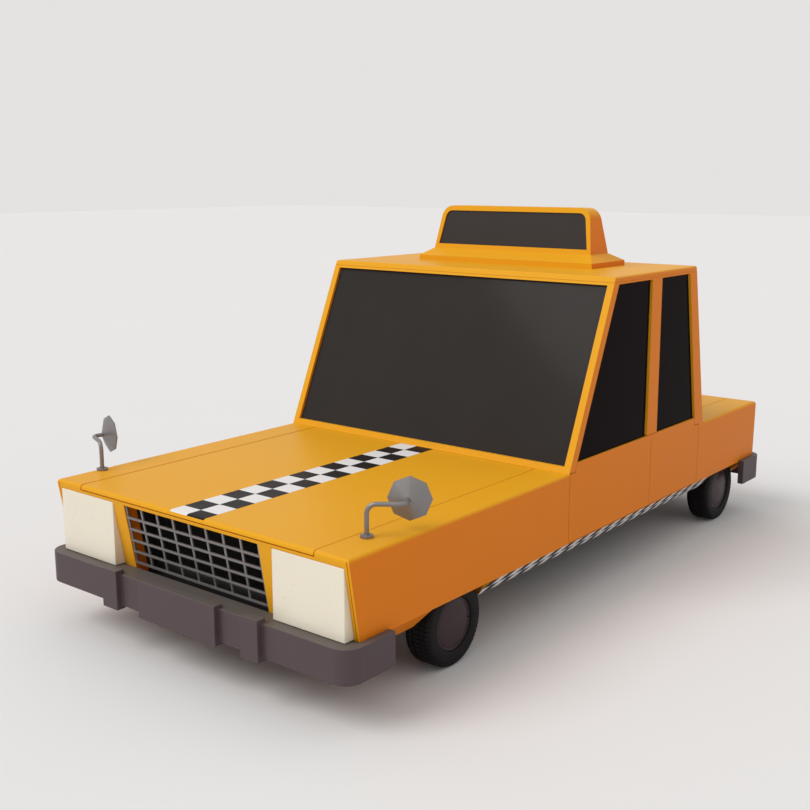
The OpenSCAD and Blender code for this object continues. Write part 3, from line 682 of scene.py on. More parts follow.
def clean_copy(node, name):
    """A copy of a CAD node whose triangles are merged and whose flat faces are whole."""
    copy = bmesh.new()
    copy.from_mesh(frame["nodes"][node].data)
    bmesh.ops.remove_doubles(copy, verts=copy.verts, dist=2e-5)
    bmesh.ops.dissolve_limit(copy, angle_limit=math.radians(0.6), verts=copy.verts, edges=copy.edges)
    bmesh.ops.connect_verts_concave(copy, faces=copy.faces)
    mesh = bpy.data.meshes.new(name)
    copy.to_mesh(mesh)
    copy.free()
    for extra in ("custom_normal", "sharp_face", "sharp_edge"):
        if extra in mesh.attributes:
            mesh.attributes.remove(mesh.attributes[extra])
    mesh.materials.clear()
    return object_of(name, mesh)


def softened(node, surface, radius, segments=2):
    """A copy of a CAD node with rounded edges, which stands for the node."""
    made = clean_copy(node, node + "_skin")
    made.data.materials.append(finish(surface))
    made.data.polygons.foreach_set("material_index", [0] * len(made.data.polygons))
    made.data.shade_smooth()
    bevel = made.modifiers.new("Edges", "BEVEL")
    bevel.width = radius
    bevel.segments = segments
    bevel.limit_method = "ANGLE"
    bevel.angle_limit = math.radians(28)
    bevel.miter_outer = "MITER_ARC"
    bevel.harden_normals = True
    bevel.use_clamp_overlap = True
    weights = made.modifiers.new("Normals", "WEIGHTED_NORMAL")
    weights.keep_sharp = True
    return settled(baked(made), body_of(node), [node])


def dressed(node, surface):
    """A CAD node that stays as it is and gets a finish."""
    node_object = frame["nodes"][node]
    node_object.data.materials.clear()
    node_object.data.materials.append(finish(surface))
    return node_object


# ---- geometry nodes ---------------------------------------------------------------------


def node_tree(name, inputs):
    """A Geometry Nodes tree with a geometry input and output, and the named inputs."""
    tree = bpy.data.node_groups.new(name, "GeometryNodeTree")
    tree.interface.new_socket("Geometry", in_out="INPUT", socket_type="NodeSocketGeometry")
    for label, kind, default in inputs:
        socket = tree.interface.new_socket(label, in_out="INPUT", socket_type="NodeSocket" + kind)
        if default is not None:
            socket.default_value = default
    tree.interface.new_socket("Geometry", in_out="OUTPUT", socket_type="NodeSocketGeometry")
    return tree, add(tree, "NodeGroupInput").outputs


def closes(tree, geometry, surface):
    """Ends a tree: instances become mesh, and the mesh takes its finish."""
    real = add(tree, "GeometryNodeRealizeInstances", {"Geometry": geometry}).outputs["Geometry"]
    done = add(tree, "GeometryNodeSetMaterial", {"Geometry": real, "Material": surface}).outputs[0]
    add(tree, "NodeGroupOutput", {"Geometry": done})
    return tree


def copies_on(tree, points, instance, **given):
    """Instances of a geometry on points."""
    inputs = {"Points": points, "Instance": instance, **given}
    return add(tree, "GeometryNodeInstanceOnPoints", inputs).outputs["Instances"]


def row_tree(name):
    """Copies of a mesh in a straight row."""
    tree, given = node_tree(
        name, [("Count", "Int", 4), ("Step", "Vector", None), ("Finish", "Material", None)]
    )
    line = add(
        tree, "GeometryNodeMeshLine", {"Count": given["Count"], "Offset": given["Step"]}, mode="OFFSET"
    ).outputs["Mesh"]
    return closes(tree, copies_on(tree, line, given["Geometry"]), given["Finish"])


def ring_tree(name):
    """Copies of a mesh turned about the X axis, and moved to a centre."""
    tree, given = node_tree(
        name, [("Count", "Int", 8), ("Centre", "Vector", None), ("Finish", "Material", None)]
    )
    line = add(
        tree, "GeometryNodeMeshLine",
        {"Count": given["Count"], "Offset": (0, 0, 0), "Start Location": (0, 0, 0)}, mode="OFFSET",
    ).outputs["Mesh"]
    index = add(tree, "GeometryNodeInputIndex").outputs["Index"]
    angle = maths(tree, "MULTIPLY", maths(tree, "DIVIDE", index, given["Count"]), 2 * math.pi)
    euler = add(tree, "ShaderNodeCombineXYZ", {"X": angle}).outputs["Vector"]
    turn = add(tree, "FunctionNodeEulerToRotation", {"Euler": euler}).outputs["Rotation"]
    copies = copies_on(tree, line, given["Geometry"], Rotation=turn)
    moved = add(tree, "GeometryNodeTransform", {"Geometry": copies, "Translation": given["Centre"]})
    return closes(tree, moved.outputs["Geometry"], given["Finish"])


def stitch_tree(name):
    """Stitches along a line of edges."""
    tree, given = node_tree(name, [
        ("Pitch", "Float", 0.009), ("Length", "Float", 0.0028), ("Thickness", "Float", 0.0007),
        ("Finish", "Material", None),
    ])
    curve = add(tree, "GeometryNodeMeshToCurve", {"Mesh": given["Geometry"]}).outputs["Curve"]
    points = add(
        tree, "GeometryNodeCurveToPoints", {"Curve": curve, "Length": given["Pitch"]}, mode="LENGTH"
    ).outputs
    ball = add(tree, "GeometryNodeMeshUVSphere", {"Segments": 6, "Rings": 4, "Radius": 1.0}).outputs["Mesh"]
    size = add(
        tree, "ShaderNodeCombineXYZ",
        {"X": given["Thickness"], "Y": given["Thickness"], "Z": given["Length"]},
    ).outputs["Vector"]
    copies = copies_on(tree, points["Points"], ball, Rotation=points["Rotation"], Scale=size)
    return closes(tree, copies, given["Finish"])


def film_tree(name):
    """Gives flat squares a thickness and one of two finishes."""
    tree, given = node_tree(name, [
        ("Thickness", "Float", 0.0006), ("Light", "Material", None), ("Dark", "Material", None),
    ])
    raised = add(
        tree, "GeometryNodeExtrudeMesh",
        {"Mesh": given["Geometry"], "Offset Scale": given["Thickness"], "Individual": False}, mode="FACES",
    ).outputs["Mesh"]
    under = add(tree, "GeometryNodeFlipFaces", {"Mesh": given["Geometry"]}).outputs["Mesh"]
    both = add(tree, "GeometryNodeJoinGeometry")
    tree.links.new(under, both.inputs[0])
    tree.links.new(raised, both.inputs[0])
    sealed = add(tree, "GeometryNodeMergeByDistance", {"Geometry": both.outputs[0], "Distance": 1e-6})
    is_light = add(
        tree, "GeometryNodeInputNamedAttribute", {"Name": "light"}, data_type="BOOLEAN"
    ).outputs["Attribute"]
    made = sealed.outputs["Geometry"]
    for surface, where in ((given["Dark"], True), (given["Light"], is_light)):
        inputs = {"Geometry": made, "Selection": where, "Material": surface}
        made = add(tree, "GeometryNodeSetMaterial", inputs).outputs["Geometry"]
    add(tree, "NodeGroupOutput", {"Geometry": made})
    return tree


TREES = {
    "Row of copies": row_tree, "Ring of copies": ring_tree, "Stitches": stitch_tree,
    "Checker film": film_tree,
}


def tree_of(name):
    """The Geometry Nodes tree of that name, built the first time that it is asked for."""
    return bpy.data.node_groups.get(name) or TREES[name](name)


def grown(obj, tree_name, values, sharp=35):
    """Runs a Geometry Nodes tree on an object and keeps the result as its plain mesh."""
    tree = tree_of(tree_name)
    modifier = obj.modifiers.new(tree.name, "NODES")
    modifier.node_group = tree
    for item in tree.interface.items_tree:
        if item.in_out == "INPUT" and item.name in values:
            modifier[item.identifier] = values[item.name]
    baked(obj)
    obj.data.shade_smooth()
    obj.data.set_sharp_from_angle(angle=math.radians(sharp))
    return obj


def row(name, part, count, step, surface):
    """A row of copies of a part as one object."""
    values = {"Count": count, "Step": step, "Finish": finish(surface)}
    return grown(joined(name, {surface: [part]}), "Row of copies", values)


def ring(name, part, count, centre, surface):
    """A ring of copies of a part, made about the X axis and moved to its centre."""
    values = {"Count": count, "Centre": centre, "Finish": finish(surface)}
    return grown(joined(name, {surface: [part]}), "Ring of copies", values)


def merged(name, objects):
    """One object from several plain ones, their finishes kept."""
    finishes = []
    whole = bmesh.new()
    for obj in objects:
        mesh = obj.data
        slots = []
        for material in mesh.materials:
            if material not in finishes:
                finishes.append(material)
            slots.append(finishes.index(material))
        start = len(whole.faces)
        whole.from_mesh(mesh)
        whole.faces.ensure_lookup_table()
        for face in whole.faces[start:]:
            face.material_index = slots[face.material_index]
        bpy.data.objects.remove(obj)
    mesh = bpy.data.meshes.new(name)
    whole.to_mesh(mesh)
    whole.free()
    for material in finishes:
        mesh.materials.append(material)
    return object_of(name, mesh)


def stitched(name, paths):
    """Stitches along several paths as one object."""
    mesh = bpy.data.meshes.new(name)
    points = [tuple(p) for path in paths for p in path]
    edges, start = [], 0
    for path in paths:
        edges += [(start + i, start + i + 1) for i in range(len(path) - 1)]
        start += len(path)
    mesh.from_pydata(points, edges, [])
    values = {"Pitch": bpy.context.scene.cab_sizes.stitch_pitch, "Finish": finish("thread")}
    return grown(object_of(name, mesh), "Stitches", values)


# ---- operators --------------------------------------------------------------------------


class PieceOperator:
    """What every piece's operator has in common"""

    bl_options = {"REGISTER", "UNDO"}

    def execute(self, context):
        self.build(context.scene.cab_sizes)
        return {"FINISHED"}


PANELS = (
    "front_wings", "nose_panel", "cabin_frame", "roof_panel", "rear_wings", "tail_panel", "sills",
    "boot_lid", "front_door_left", "front_door_right", "rear_door_left", "rear_door_right",
)


class CAB_OT_panels(PieceOperator, bpy.types.Operator):
    """Round the painted panels' edges and paint them"""

    bl_idname = "cab.panels"
    bl_label = "Painted Panels"

    def build(self, sizes):
        for node in PANELS:
            softened(node, "body_paint", sizes.edge_radius)
        softened("bonnet", "body_paint", sizes.edge_radius)


class CAB_OT_lid_frames(PieceOperator, bpy.types.Operator):
    """Build the pressed frames inside the bonnet and the boot lid"""

    bl_idname = "cab.lid_frames"
    bl_label = "Lid Frames"

    def build(self, sizes):
        side_gap, front_gap, back_gap, thinner = 0.10, 0.13, 0.10, 0.0005
        for node, slot in (("bonnet", "bonnet_paint"), ("boot_lid", "body_paint")):
            low, high = box_of(node)
            x, y0, y1 = high.x - side_gap, low.y + front_gap, high.y - back_gap
            corners = [(-x, y0), (x, y0), (x, y1), (-x, y1)]
            runs = list(zip(corners, corners[1:] + corners[:1])) + [corners[::2], corners[1::2]]
            # each rib is a little shallower than the one before, so that no two faces coincide
            ribs = [
                self.rib(a, b, sizes.rib_width, low.z, sizes.rib_depth - thinner * i)
                for i, (a, b) in enumerate(runs)
            ]
            settled(joined(node + "_frame", {"body_paint": ribs}), body_of(node))

    def rib(self, a, b, width, z, depth):
        """A pressed rib under a lid, from a to b, with its ends rounded by half its width."""
        heading = math.degrees(math.atan2(b[1] - a[1], b[0] - a[0]))
        outline = arc(b, width / 2, heading - 90, heading + 90, 9)
        outline += arc(a, width / 2, heading + 90, heading + 270, 9)
        return prism_part(outline, "Z", z - depth, z + 0.002, depth * 0.3, 2)


def film(name, squares, body):
    """Checker film from (four corners, is light) squares."""
    mesh = bpy.data.meshes.new(name)
    points = [corner for corners, _ in squares for corner in corners]
    mesh.from_pydata(points, [], [tuple(range(4 * i, 4 * i + 4)) for i in range(len(squares))])
    flag = mesh.attributes.new("light", "BOOLEAN", "FACE")
    flag.data.foreach_set("value", [light for _, light in squares])
    whole = bmesh.new()
    whole.from_mesh(mesh)
    bmesh.ops.remove_doubles(whole, verts=whole.verts, dist=1e-6)
    whole.to_mesh(mesh)
    whole.free()
    values = {
        "Thickness": bpy.context.scene.cab_sizes.film_thickness,
        "Light": finish("film_light"), "Dark": finish("film_dark"),
    }
    return settled(grown(object_of(name, mesh), "Checker film", values), body)


class CAB_OT_checker(PieceOperator, bpy.types.Operator):
    """Lay the checker film down the bonnet and along the sills"""

    bl_idname = "cab.checker"
    bl_label = "Checker Film"

    def build(self, sizes):
        self.stripe(sizes)
        for name, side in SIDES.items():
            self.band("checker_band_" + name, side)

    def stripe(self, sizes):
        """Two squares abreast, from the windscreen's foot over the bonnet's front edge."""
        low, high = box_of("bonnet")
        rows, screen_run, foot_gap, scuttle = 15, 0.424, 0.0005, 0.0125
        foot = box_of("roof_panel")[0].y - screen_run
        lip = self.lip(low, high)
        ends = [foot - sizes.stripe_pitch * k for k in range(rows)] + [lip[0][0]]
        on_lid, on_scuttle = [], []
        for column in (-1, 0):
            x0, x1 = column * sizes.stripe_square, (column + 1) * sizes.stripe_square
            lights = [(k + column) % 2 == 1 for k in range(rows)]
            on_scuttle.append((flat_square(x0, x1, foot - scuttle, foot - foot_gap, high.z), lights[0]))
            for k, light in enumerate(lights):
                back = ends[k] if k else high.y - sizes.edge_radius
                on_lid.append((flat_square(x0, x1, ends[k + 1], back, high.z), light))
            for (y0, z0), (y1, z1) in zip(lip, lip[1:]):
                on_lid.append(([(x0, y0, z0), (x0, y1, z1), (x1, y1, z1), (x1, y0, z0)], lights[-1]))
        film("checker_stripe", on_lid, body_of("bonnet"))
        film("checker_stripe_scuttle", on_scuttle, MIDDLE)

    def lip(self, low, high):
        """Points (y, z) down the bonnet's rounded front edge, as far as half its turn."""
        corners = {
            (round(v.co.y, 5), round(v.co.z, 5)) for v in frame["nodes"]["bonnet"].data.vertices
            if v.co.x < low.x + 1e-4 and v.co.y < low.y + 0.03 and v.co.z > high.z - 0.024
        }
        return sorted(corners, key=lambda point: -point[1])[:3]

    def band(self, name, side):
        """Two rows of squares on a sill's sloping outer face, cut back at the front wheel."""
        low, high = box_of("sills")
        columns, rows, hollow = 35, 2, 0.040
        foot_x = high.x - (high.z - low.z)
        step = (high.y - low.y) / columns
        squares = []
        for i in range(columns):
            y0, y1 = low.y + i * step, low.y + (i + 1) * step
            for k in range(rows):
                front_foot = y0 + (hollow if i == 0 and k == 0 else 0)
                corners = []
                for share, y in ((k, front_foot), (k + 1, y0), (k + 1, y1), (k, y1)):
                    x = foot_x + (high.x - foot_x) * share / rows
                    z = low.z + (high.z - low.z) * share / rows
                    corners.append(inset((x, y, z), low, high))
                if side < 0:
                    corners = [(-x, y, z) for x, y, z in corners]
                else:
                    corners.reverse()
                squares.append((corners, (i + k) % 2 == 0))
        film(name, squares, MIDDLE)


def inset(corner, low, high, margin=0.003):
    """Keeps a corner of the sill's band off the sill's rounded edges."""
    x, y, z = corner
    pull = margin if z < low.z + 1e-6 else -margin if z > high.z - 1e-6 else 0
    return (x + pull, min(max(y, low.y + margin), high.y - margin), z + pull)


def flat_square(x0, x1, y0, y1, z):
    return [(x0, y0, z), (x1, y0, z), (x1, y1, z), (x0, y1, z)]


class CAB_OT_glass(PieceOperator, bpy.types.Operator):
    """Tint the fixed and the sliding glass"""

    bl_idname = "cab.glass"
    bl_label = "Glass"

    def build(self, sizes):
        dressed("fixed_glass", "screen_glass")
        for end in ("front", "rear"):
            for side in SIDES:
                dressed(f"{end}_glass_{side}", "side_glass")


class CAB_OT_lamps(PieceOperator, bpy.types.Operator):
    """Build the head lamps and the tail lamps"""

    bl_idname = "cab.lamps"
    bl_label = "Lamps"

    def build(self, sizes):
        softened("headlights", "head_lens", 0.004, 3)
        for name, side in SIDES.items():
            self.tail_lamp(name, side)

    def tail_lamp(self, name, side):
        """Three lenses, one above the other, in a metal tray, with upright ribs over them."""
        low, high = box_of("tail_lamps")
        inner, outer, rim, gap, face = 0.760, 0.978, 0.008, 0.002, high.y - 0.002
        tray = box_part((inner, low.y, low.z), (outer, high.y - rim, high.z), 0.004)
        kinds = {"satin_metal": [sided(tray, side)]}
        foot, height = low.z + rim, high.z - low.z - 2 * rim
        for surface, start, end in (
            ("tail_lens", 0.36, 0.72), ("amber_lens", 0.0, 0.36), ("head_lens", 0.72, 1.0),
        ):
            lens = box_part(
                (inner + rim, low.y + 0.01, foot + height * start + gap),
                (outer - rim, face, foot + height * end - gap), 0.003,
            )
            kinds[surface] = [sided(lens, side)]
        rib = box_part(
            (inner + 0.012, high.y - 0.004, low.z + 0.014), (inner + 0.015, high.y, high.z - 0.014), 0.001, 1
        )
        ribs = row("tail_ribs_" + name, sided(rib, side), 20, (side * 0.0102, 0, 0), "tail_lens")
        settled(joined("tail_lamp_" + name, kinds), MIDDLE, ["tail_lamps"])
        settled(ribs, MIDDLE)


class CAB_OT_grille(PieceOperator, bpy.types.Operator):
    """Finish the lattice and build the radiator's fins behind it"""

    bl_idname = "cab.grille"
    bl_label = "Grille And Radiator"

    def build(self, sizes):
        self.lattice()
        low, high = box_of("radiator")
        tank, post, fin_width = 0.045, 0.018, 0.0012
        z0, z1 = low.z + tank, high.z - tank
        core = box_part(
            (low.x + 0.01, low.y + 0.02, low.z + 0.03), (high.x - 0.01, high.y - 0.012, high.z - 0.03)
        )
        edge = box_part(
            (high.x - post, low.y + 0.004, z0 - 0.01), (high.x, high.y - 0.004, z1 + 0.01), 0.003
        )
        # the side plates are black liners: painted shade over the inner cheeks of the nose panel's opening
        parts = [
            box_part(low, (high.x, high.y, z0), 0.012), box_part((low.x, low.y, z1), high, 0.012), core,
            self.lower_guide(low.y), *both_sides([edge, self.side_shade_liner(low.y)]),
        ]
        x0 = low.x + post
        fin = box_part((x0, low.y + 0.006, z0), (x0 + fin_width, low.y + 0.022, z1))
        count = int((high.x - low.x - 2 * post) / sizes.fin_pitch)
        fins = row("radiator_fins", fin, count, (sizes.fin_pitch, 0, 0), "core_black")
        settled(joined("radiator_core", {"core_black": parts}), MIDDLE, ["radiator"])
        settled(fins, MIDDLE)

    def lower_guide(self, end_y):
        """Plate under the air's way, which rises a little to the radiator."""
        reach, width, foot, rise, thick = 0.062, 0.430, 0.336, 0.008, 0.006
        y0, y1 = end_y - reach, end_y + 0.002
        outline = [(y0, foot), (y1, foot + rise), (y1, foot + rise + thick), (y0, foot + thick)]
        return prism_part(outline, "X", -width, width, 0.001, 1)

    def side_shade_liner(self, end_y):
        """A black liner beside the air's way, from the leaning nose panel back to the radiator: painted shade
        over the inside of the nose panel's painted cheek.
        """
        x = box_of("grille")[1].x
        y0, top = box_of("bonnet")[0].y + 0.064, box_of("bonnet")[1].z
        y1, z0, z1, lean = end_y - 0.006, 0.356, 0.720, 0.175
        outline = [(y0 + lean * (top - z0), z0), (y0 + lean * (top - z1), z1), (y1, z1), (y1, z0)]
        return prism_part(outline, "X", x - 0.0030, x - 0.0005, 0.0004, 1)

    def lattice(self):
        """Crossed bars that lean with the nose: level ones in front, upright ones set back."""
        low, high = box_of("grille")
        bar, rows, columns, rise, inner = 0.013, 5, 9, 0.060, 0.001
        lean = (high.y - low.y - bar) / (high.z - low.z)
        y, z = low.y + 0.0002, low.z
        back = low.y + bar - inner
        level_bar = prism_part(
            [(y + lean * bar, z), (y, z + bar), (back, z + bar), (back + lean * bar, z)],
            "X", low.x, high.x, 0.002, 2,
        )
        turned(level_bar, Matrix.Translation((0, lean * (high.z - low.z - bar), 0)))
        level = row("grille_level_bars", level_bar, rows, (0, -lean * rise, rise), "satin_metal")
        foot = low.z + 0.002
        post = prism_part(
            [(high.y - 0.009, foot), (low.y + 0.004, high.z), (low.y + bar, high.z), (high.y, foot)],
            "X", low.x, low.x + bar, 0.002, 2,
        )
        step = (high.x - low.x - bar) / (columns - 1)
        upright = row("grille_upright_bars", post, columns, (step, 0, 0), "satin_metal")
        settled(level, MIDDLE, ["grille"])
        settled(upright, MIDDLE)


class CAB_OT_bumpers(PieceOperator, bpy.types.Operator):
    """Round and finish the bumper bars"""

    bl_idname = "cab.bumpers"
    bl_label = "Bumpers"

    def build(self, sizes):
        softened("bumpers", "bumper_mould", sizes.bar_edge, 3)


class CAB_OT_mirrors(PieceOperator, bpy.types.Operator):
    """Finish the wing mirrors and set their glass"""

    bl_idname = "cab.mirrors"
    bl_label = "Wing Mirrors"

    def build(self, sizes):
        softened("mirrors", "satin_metal", 0.0015)
        foot_z, facets = box_of("bonnet")[1].z, 8
        feet = {
            "left": Matrix.Translation((0.862, -1.834, foot_z)),
            "right": Matrix.Translation((-0.960, -1.854, foot_z)) @ spun(14, "Z"),
        }
        onto_stalk = Matrix.Translation((0.110, 0.149, 0.149)) @ spun(-61, "Z") @ spun(90, "X")
        for name, side in SIDES.items():
            glass = lathe_part(
                [(-0.0432, 0), (-0.0432, 0.090), (-0.0424, 0.0915), (-0.0415, 0.0915), (-0.0415, 0)],
                steps=facets,
            )
            rim = lathe_part(
                [(-0.0440, 0.0925), (-0.0443, 0.0960), (-0.0435, 0.0992), (-0.0415, 0.1000),
                 (-0.0415, 0.0925)], steps=facets,
            )
            glass, rim = [turned(sided(turned(p, onto_stalk), side), feet[name]) for p in (glass, rim)]
            made = joined("mirror_glass_" + name, {"mirror_face": [glass], "satin_metal": [rim]}, 20)
            settled(made, MIDDLE)
            screw = lathe_part([(0.0, 0.0042), (0.0018, 0.0040), (0.0028, 0.0022), (0.0030, 0)], steps=12)
            turned(screw, Matrix.Translation((0.0118, 0, 0.0205)))
            screws = ring("mirror_screws_" + name, screw, 3, (0, 0, 0), "machined")
            screws.data.transform(feet[name] @ spun(-90, "Y"))
            settled(screws, MIDDLE)


class CAB_OT_roof_sign(PieceOperator, bpy.types.Operator):
    """Finish the blank roof sign"""

    bl_idname = "cab.roof_sign"
    bl_label = "Roof Sign"

    def build(self, sizes):
        softened("roof_sign", "body_paint", 0.006, 3)
        dressed("sign_panels", "sign_sheet")


class CAB_OT_wheels(PieceOperator, bpy.types.Operator):
    """Build the four wheels and their treaded tyres"""

    bl_idname = "cab.wheels"
    bl_label = "Wheels And Tyres"

    def build(self, sizes):
        for end in ("front", "rear"):
            for name, side in SIDES.items():
                self.tyre(sizes, end, name)
                self.disc(end, name, side)

    def tyre(self, sizes, end, name):
        """A carcass with three rows of tread blocks and a row on each shoulder."""
        node = f"{end}_tyre_{name}"
        low, high = box_of(node)
        centre = (low + high) / 2
        outer, half = (high.y - low.y) / 2, (high.x - low.x) / 2
        bead, shoulder, edge = 0.1333, 0.026, 0.0495
        base = outer - sizes.tread_depth
        left = [
            (-half + 0.006, bead), (-half + 0.001, bead + 0.006), (-half + 0.0002, bead + 0.020),
            (-half, bead + 0.022), (-half, bead + 0.040),
            *arc((-half + shoulder, base - shoulder), shoulder, 180, 90, 6),
        ]
        carcass = lathe_part(left + mirrored(left), steps=96)
        turned(carcass, Matrix.Translation(centre))
        casing = joined(f"casing_{end}_{name}", {"tyre_rubber": [carcass]}, 50)

        block = bmesh.new()
        pitch = 2 * math.pi / sizes.tread_pitches
        foot, chamfer = base - 0.002, [(0.0, -0.001), (0.0012, 0.0)]
        for x0, x1, skew in ((-0.0455, -0.0205, 0.10), (-0.0165, 0.0165, 0.10), (0.0205, 0.0455, -0.10)):
            up = [(x0, foot)] + [(x0 + x, outer + r) for x, r in chamfer]
            down = [(x1 - x, outer + r) for x, r in reversed(chamfer)] + [(x1, foot)]
            add_tread(block, up + down, 0.86 * pitch, skew)
        for side in SIDES.values():
            up = [(edge, foot)] + [(edge + x, outer + r) for x, r in chamfer]
            over = arc((half - shoulder, outer - shoulder), shoulder, 88, 28, 4)
            under = [(x - 0.004, r - 0.004) for x, r in reversed(over[2:])]
            add_tread(block, [(side * x, r) for x, r in up + over + under], 0.80 * pitch)
        tread = ring(f"tread_{end}_{name}", block, sizes.tread_pitches, centre, "tyre_rubber")
        settled(merged(f"tyre_{end}_{name}", [casing, tread]), body_of(node), [node])

    def disc(self, end, name, side):
        """A dished disc with a rolled rim, a hub behind it and a valve."""
        node = f"{end}_wheel_{name}"
        low, high = box_of(node)
        centre = (low + high) / 2
        face, back = (high.x, low.x) if side > 0 else (-low.x, -high.x)
        radius = (high.y - low.y) / 2
        well = face - 0.132
        hub = [(back + 0.001, 0.0), (back + 0.001, 0.040), (back + 0.004, 0.044), (0.893, 0.044)]
        drum = [
            (0.895, 0.050), (0.895, 0.112), (0.890, 0.118), (well + 0.012, 0.118), (well + 0.004, 0.121),
            (well + 0.001, 0.129), (well + 0.001, radius),
        ]
        rim = [(-0.0120, 0.0), (-0.0072, 0.0015), (-0.0055, 0.004), (-0.0060, 0.009), (-0.0085, 0.012),
               (-0.0065, 0.016), (-0.0035, 0.030)]
        cap = [(-0.0010, 0.072), (0.0012, 0.040), (0.0020, 0.018), (0.0022, 0.0)]
        profile = hub + drum + [(face + x, radius - r) for x, r in rim] + [(face + x, r) for x, r in cap]
        disc = lathe_part(profile, (0, centre.y, centre.z), 96)
        valve_y = centre.y + radius - 0.014
        valve = tube_part(
            [(face - 0.010, valve_y, centre.z), (face + 0.006, valve_y - 0.003, centre.z)], 0.0034, 10
        )
        kinds = {"disc_paint": [sided(disc, side)], "tyre_rubber": [sided(valve, side)]}
        settled(joined(f"wheel_{end}_{name}", kinds, 30), body_of(node), [node])


def add_tread(block, outline, angle, skew=0.0):
    """One tread block: an outline of (x, radius) points swept through an angle about X, set askew."""
    middle = (min(x for x, _ in outline) + max(x for x, _ in outline)) / 2
    rings = []
    for share in (-0.5, 0.0, 0.5):
        points = []
        for x, r in outline:
            turn = angle * share + skew * (x - middle)
            points.append(block.verts.new((x, -r * math.sin(turn), r * math.cos(turn))))
        rings.append(points)
    faces = [block.faces.new(reversed(rings[0])), block.faces.new(rings[-1])]
    count = len(outline)
    for a, b in zip(rings, rings[1:]):
        for i in range(count):
            j = (i + 1) % count
            faces.append(block.faces.new((a[i], a[j], b[j], b[i])))
    bmesh.ops.recalc_face_normals(block, faces=faces)


# ---- seats ------------------------------------------------------------------------------


def swollen(obj, sizes, foot):
    """Swells a closed pad by cloth simulation; points below foot stay, and none moves past the cap."""
    obj.data.remesh_voxel_size = sizes.voxel
    remesh = obj.modifiers.new("Remesh", "REMESH")
    remesh.mode = "VOXEL"
    remesh.voxel_size = sizes.voxel
    baked(obj)
    rest = [v.co.copy() for v in obj.data.vertices]
    hold = obj.vertex_groups.new(name="hold")
    hold.add([i for i, co in enumerate(rest) if co.z < foot], 1.0, "REPLACE")
    cloth = obj.modifiers.new("Cloth", "CLOTH")
    settings = cloth.settings
    settings.quality = 4
    settings.mass = 0.3
    settings.use_pressure = True
    settings.uniform_pressure_force = sizes.pad_pressure
    settings.effector_weights.gravity = 0
    settings.vertex_group_mass = "hold"
    settings.tension_stiffness = 12
    settings.compression_stiffness = 12
    settings.bending_stiffness = 0.4
    scene, frames = bpy.context.scene, 20
    cloth.point_cache.frame_start = 1
    cloth.point_cache.frame_end = frames
    for number in range(1, frames + 1):
        scene.frame_set(number)
    evaluated = obj.evaluated_get(bpy.context.evaluated_depsgraph_get())
    moved = [v.co.copy() for v in evaluated.data.vertices]
    obj.modifiers.clear()
    obj.vertex_groups.clear()
    scene.frame_set(1)
    for vertex, start, end in zip(obj.data.vertices, rest, moved):
        step = end - start
        if step.length > sizes.pad_swell:
            step = step.normalized() * sizes.pad_swell
        vertex.co = start + step


def smoothed(obj):
    """Relaxes a pad's mesh and divides it once."""
    relax = obj.modifiers.new("Relax", "SMOOTH")
    relax.factor = 0.6
    relax.iterations = 4
    divide = obj.modifiers.new("Divide", "SUBSURF")
    divide.levels = 1
    divide.render_levels = 1
    baked(obj)
    obj.data.shade_smooth()


def channelled(obj, seams, look, depth, width=0.011):
    """Presses channels, at the seams' places on X, into the side of a pad that looks along a direction."""
    look = Vector(look).normalized()
    normals = [v.normal.copy() for v in obj.data.vertices]
    for vertex, normal in zip(obj.data.vertices, normals):
        weight = max(0.0, min(1.0, (normal.dot(look) - 0.35) / 0.4))
        if weight == 0:
            continue
        push = sum(math.exp(-(((vertex.co.x - s) / width) ** 2)) for s in seams)
        vertex.co -= look * depth * weight * min(1.0, push)
    obj.data.update()


def pad(name, low, high, lean, seams, look, sizes):
    """A seat pad: a rounded box that leans back, swells and gets its channels."""
    margin, corner, held = 0.012, min(0.045, (high[2] - low[2]) / 3), 0.03
    part = box_part([c + margin for c in low], [c - margin for c in high], corner, 5)
    for vertex in part.verts:
        vertex.co.y += lean * (vertex.co.z - low[2]) / (high[2] - low[2])
    made = joined(name, {"seat_leather": [part]})
    swollen(made, sizes, low[2] + held)
    smoothed(made)
    channelled(made, seams, look, sizes.channel_depth)
    return made


def surface_path(obj, points, direction, lift):
    """Points dropped along a direction onto a pad's surface, lifted off it a little."""
    tree = BVHTree.FromObject(obj, bpy.context.evaluated_depsgraph_get())
    direction = Vector(direction)
    hits = [tree.ray_cast(Vector(point) - direction * 0.4, direction)[0] for point in points]
    return [hit - direction * lift for hit in hits if hit is not None]


def piping(obj, outline, radius):
    """A welt that follows an outline snapped to the nearest point of a pad."""
    tree = BVHTree.FromObject(obj, bpy.context.evaluated_depsgraph_get())
    snapped = [tree.find_nearest(Vector(p))[0] for p in outline]
    return tube_part(snapped, radius, 8, closed=True)


def ring_outline(low, high, z, corner=0.04, gap=0.02):
    """A rounded rectangle round a pad at one height, its points no more than about a gap apart."""
    x0, x1, y0, y1 = low[0] + corner, high[0] - corner, low[1] + corner, high[1] - corner
    hearts = [(x1, y1), (x0, y1), (x0, y0), (x1, y0)]
    flat = [p for k, heart in enumerate(hearts) for p in arc(heart, corner, 90 * k, 90 * k + 90, 6)]
    path = []
    for (ax, ay), (bx, by) in zip(flat, flat[1:] + flat[:1]):
        count = max(1, int(math.hypot(bx - ax, by - ay) / gap))
        path += [(ax + (bx - ax) * k / count, ay + (by - ay) * k / count, z) for k in range(count)]
    return path


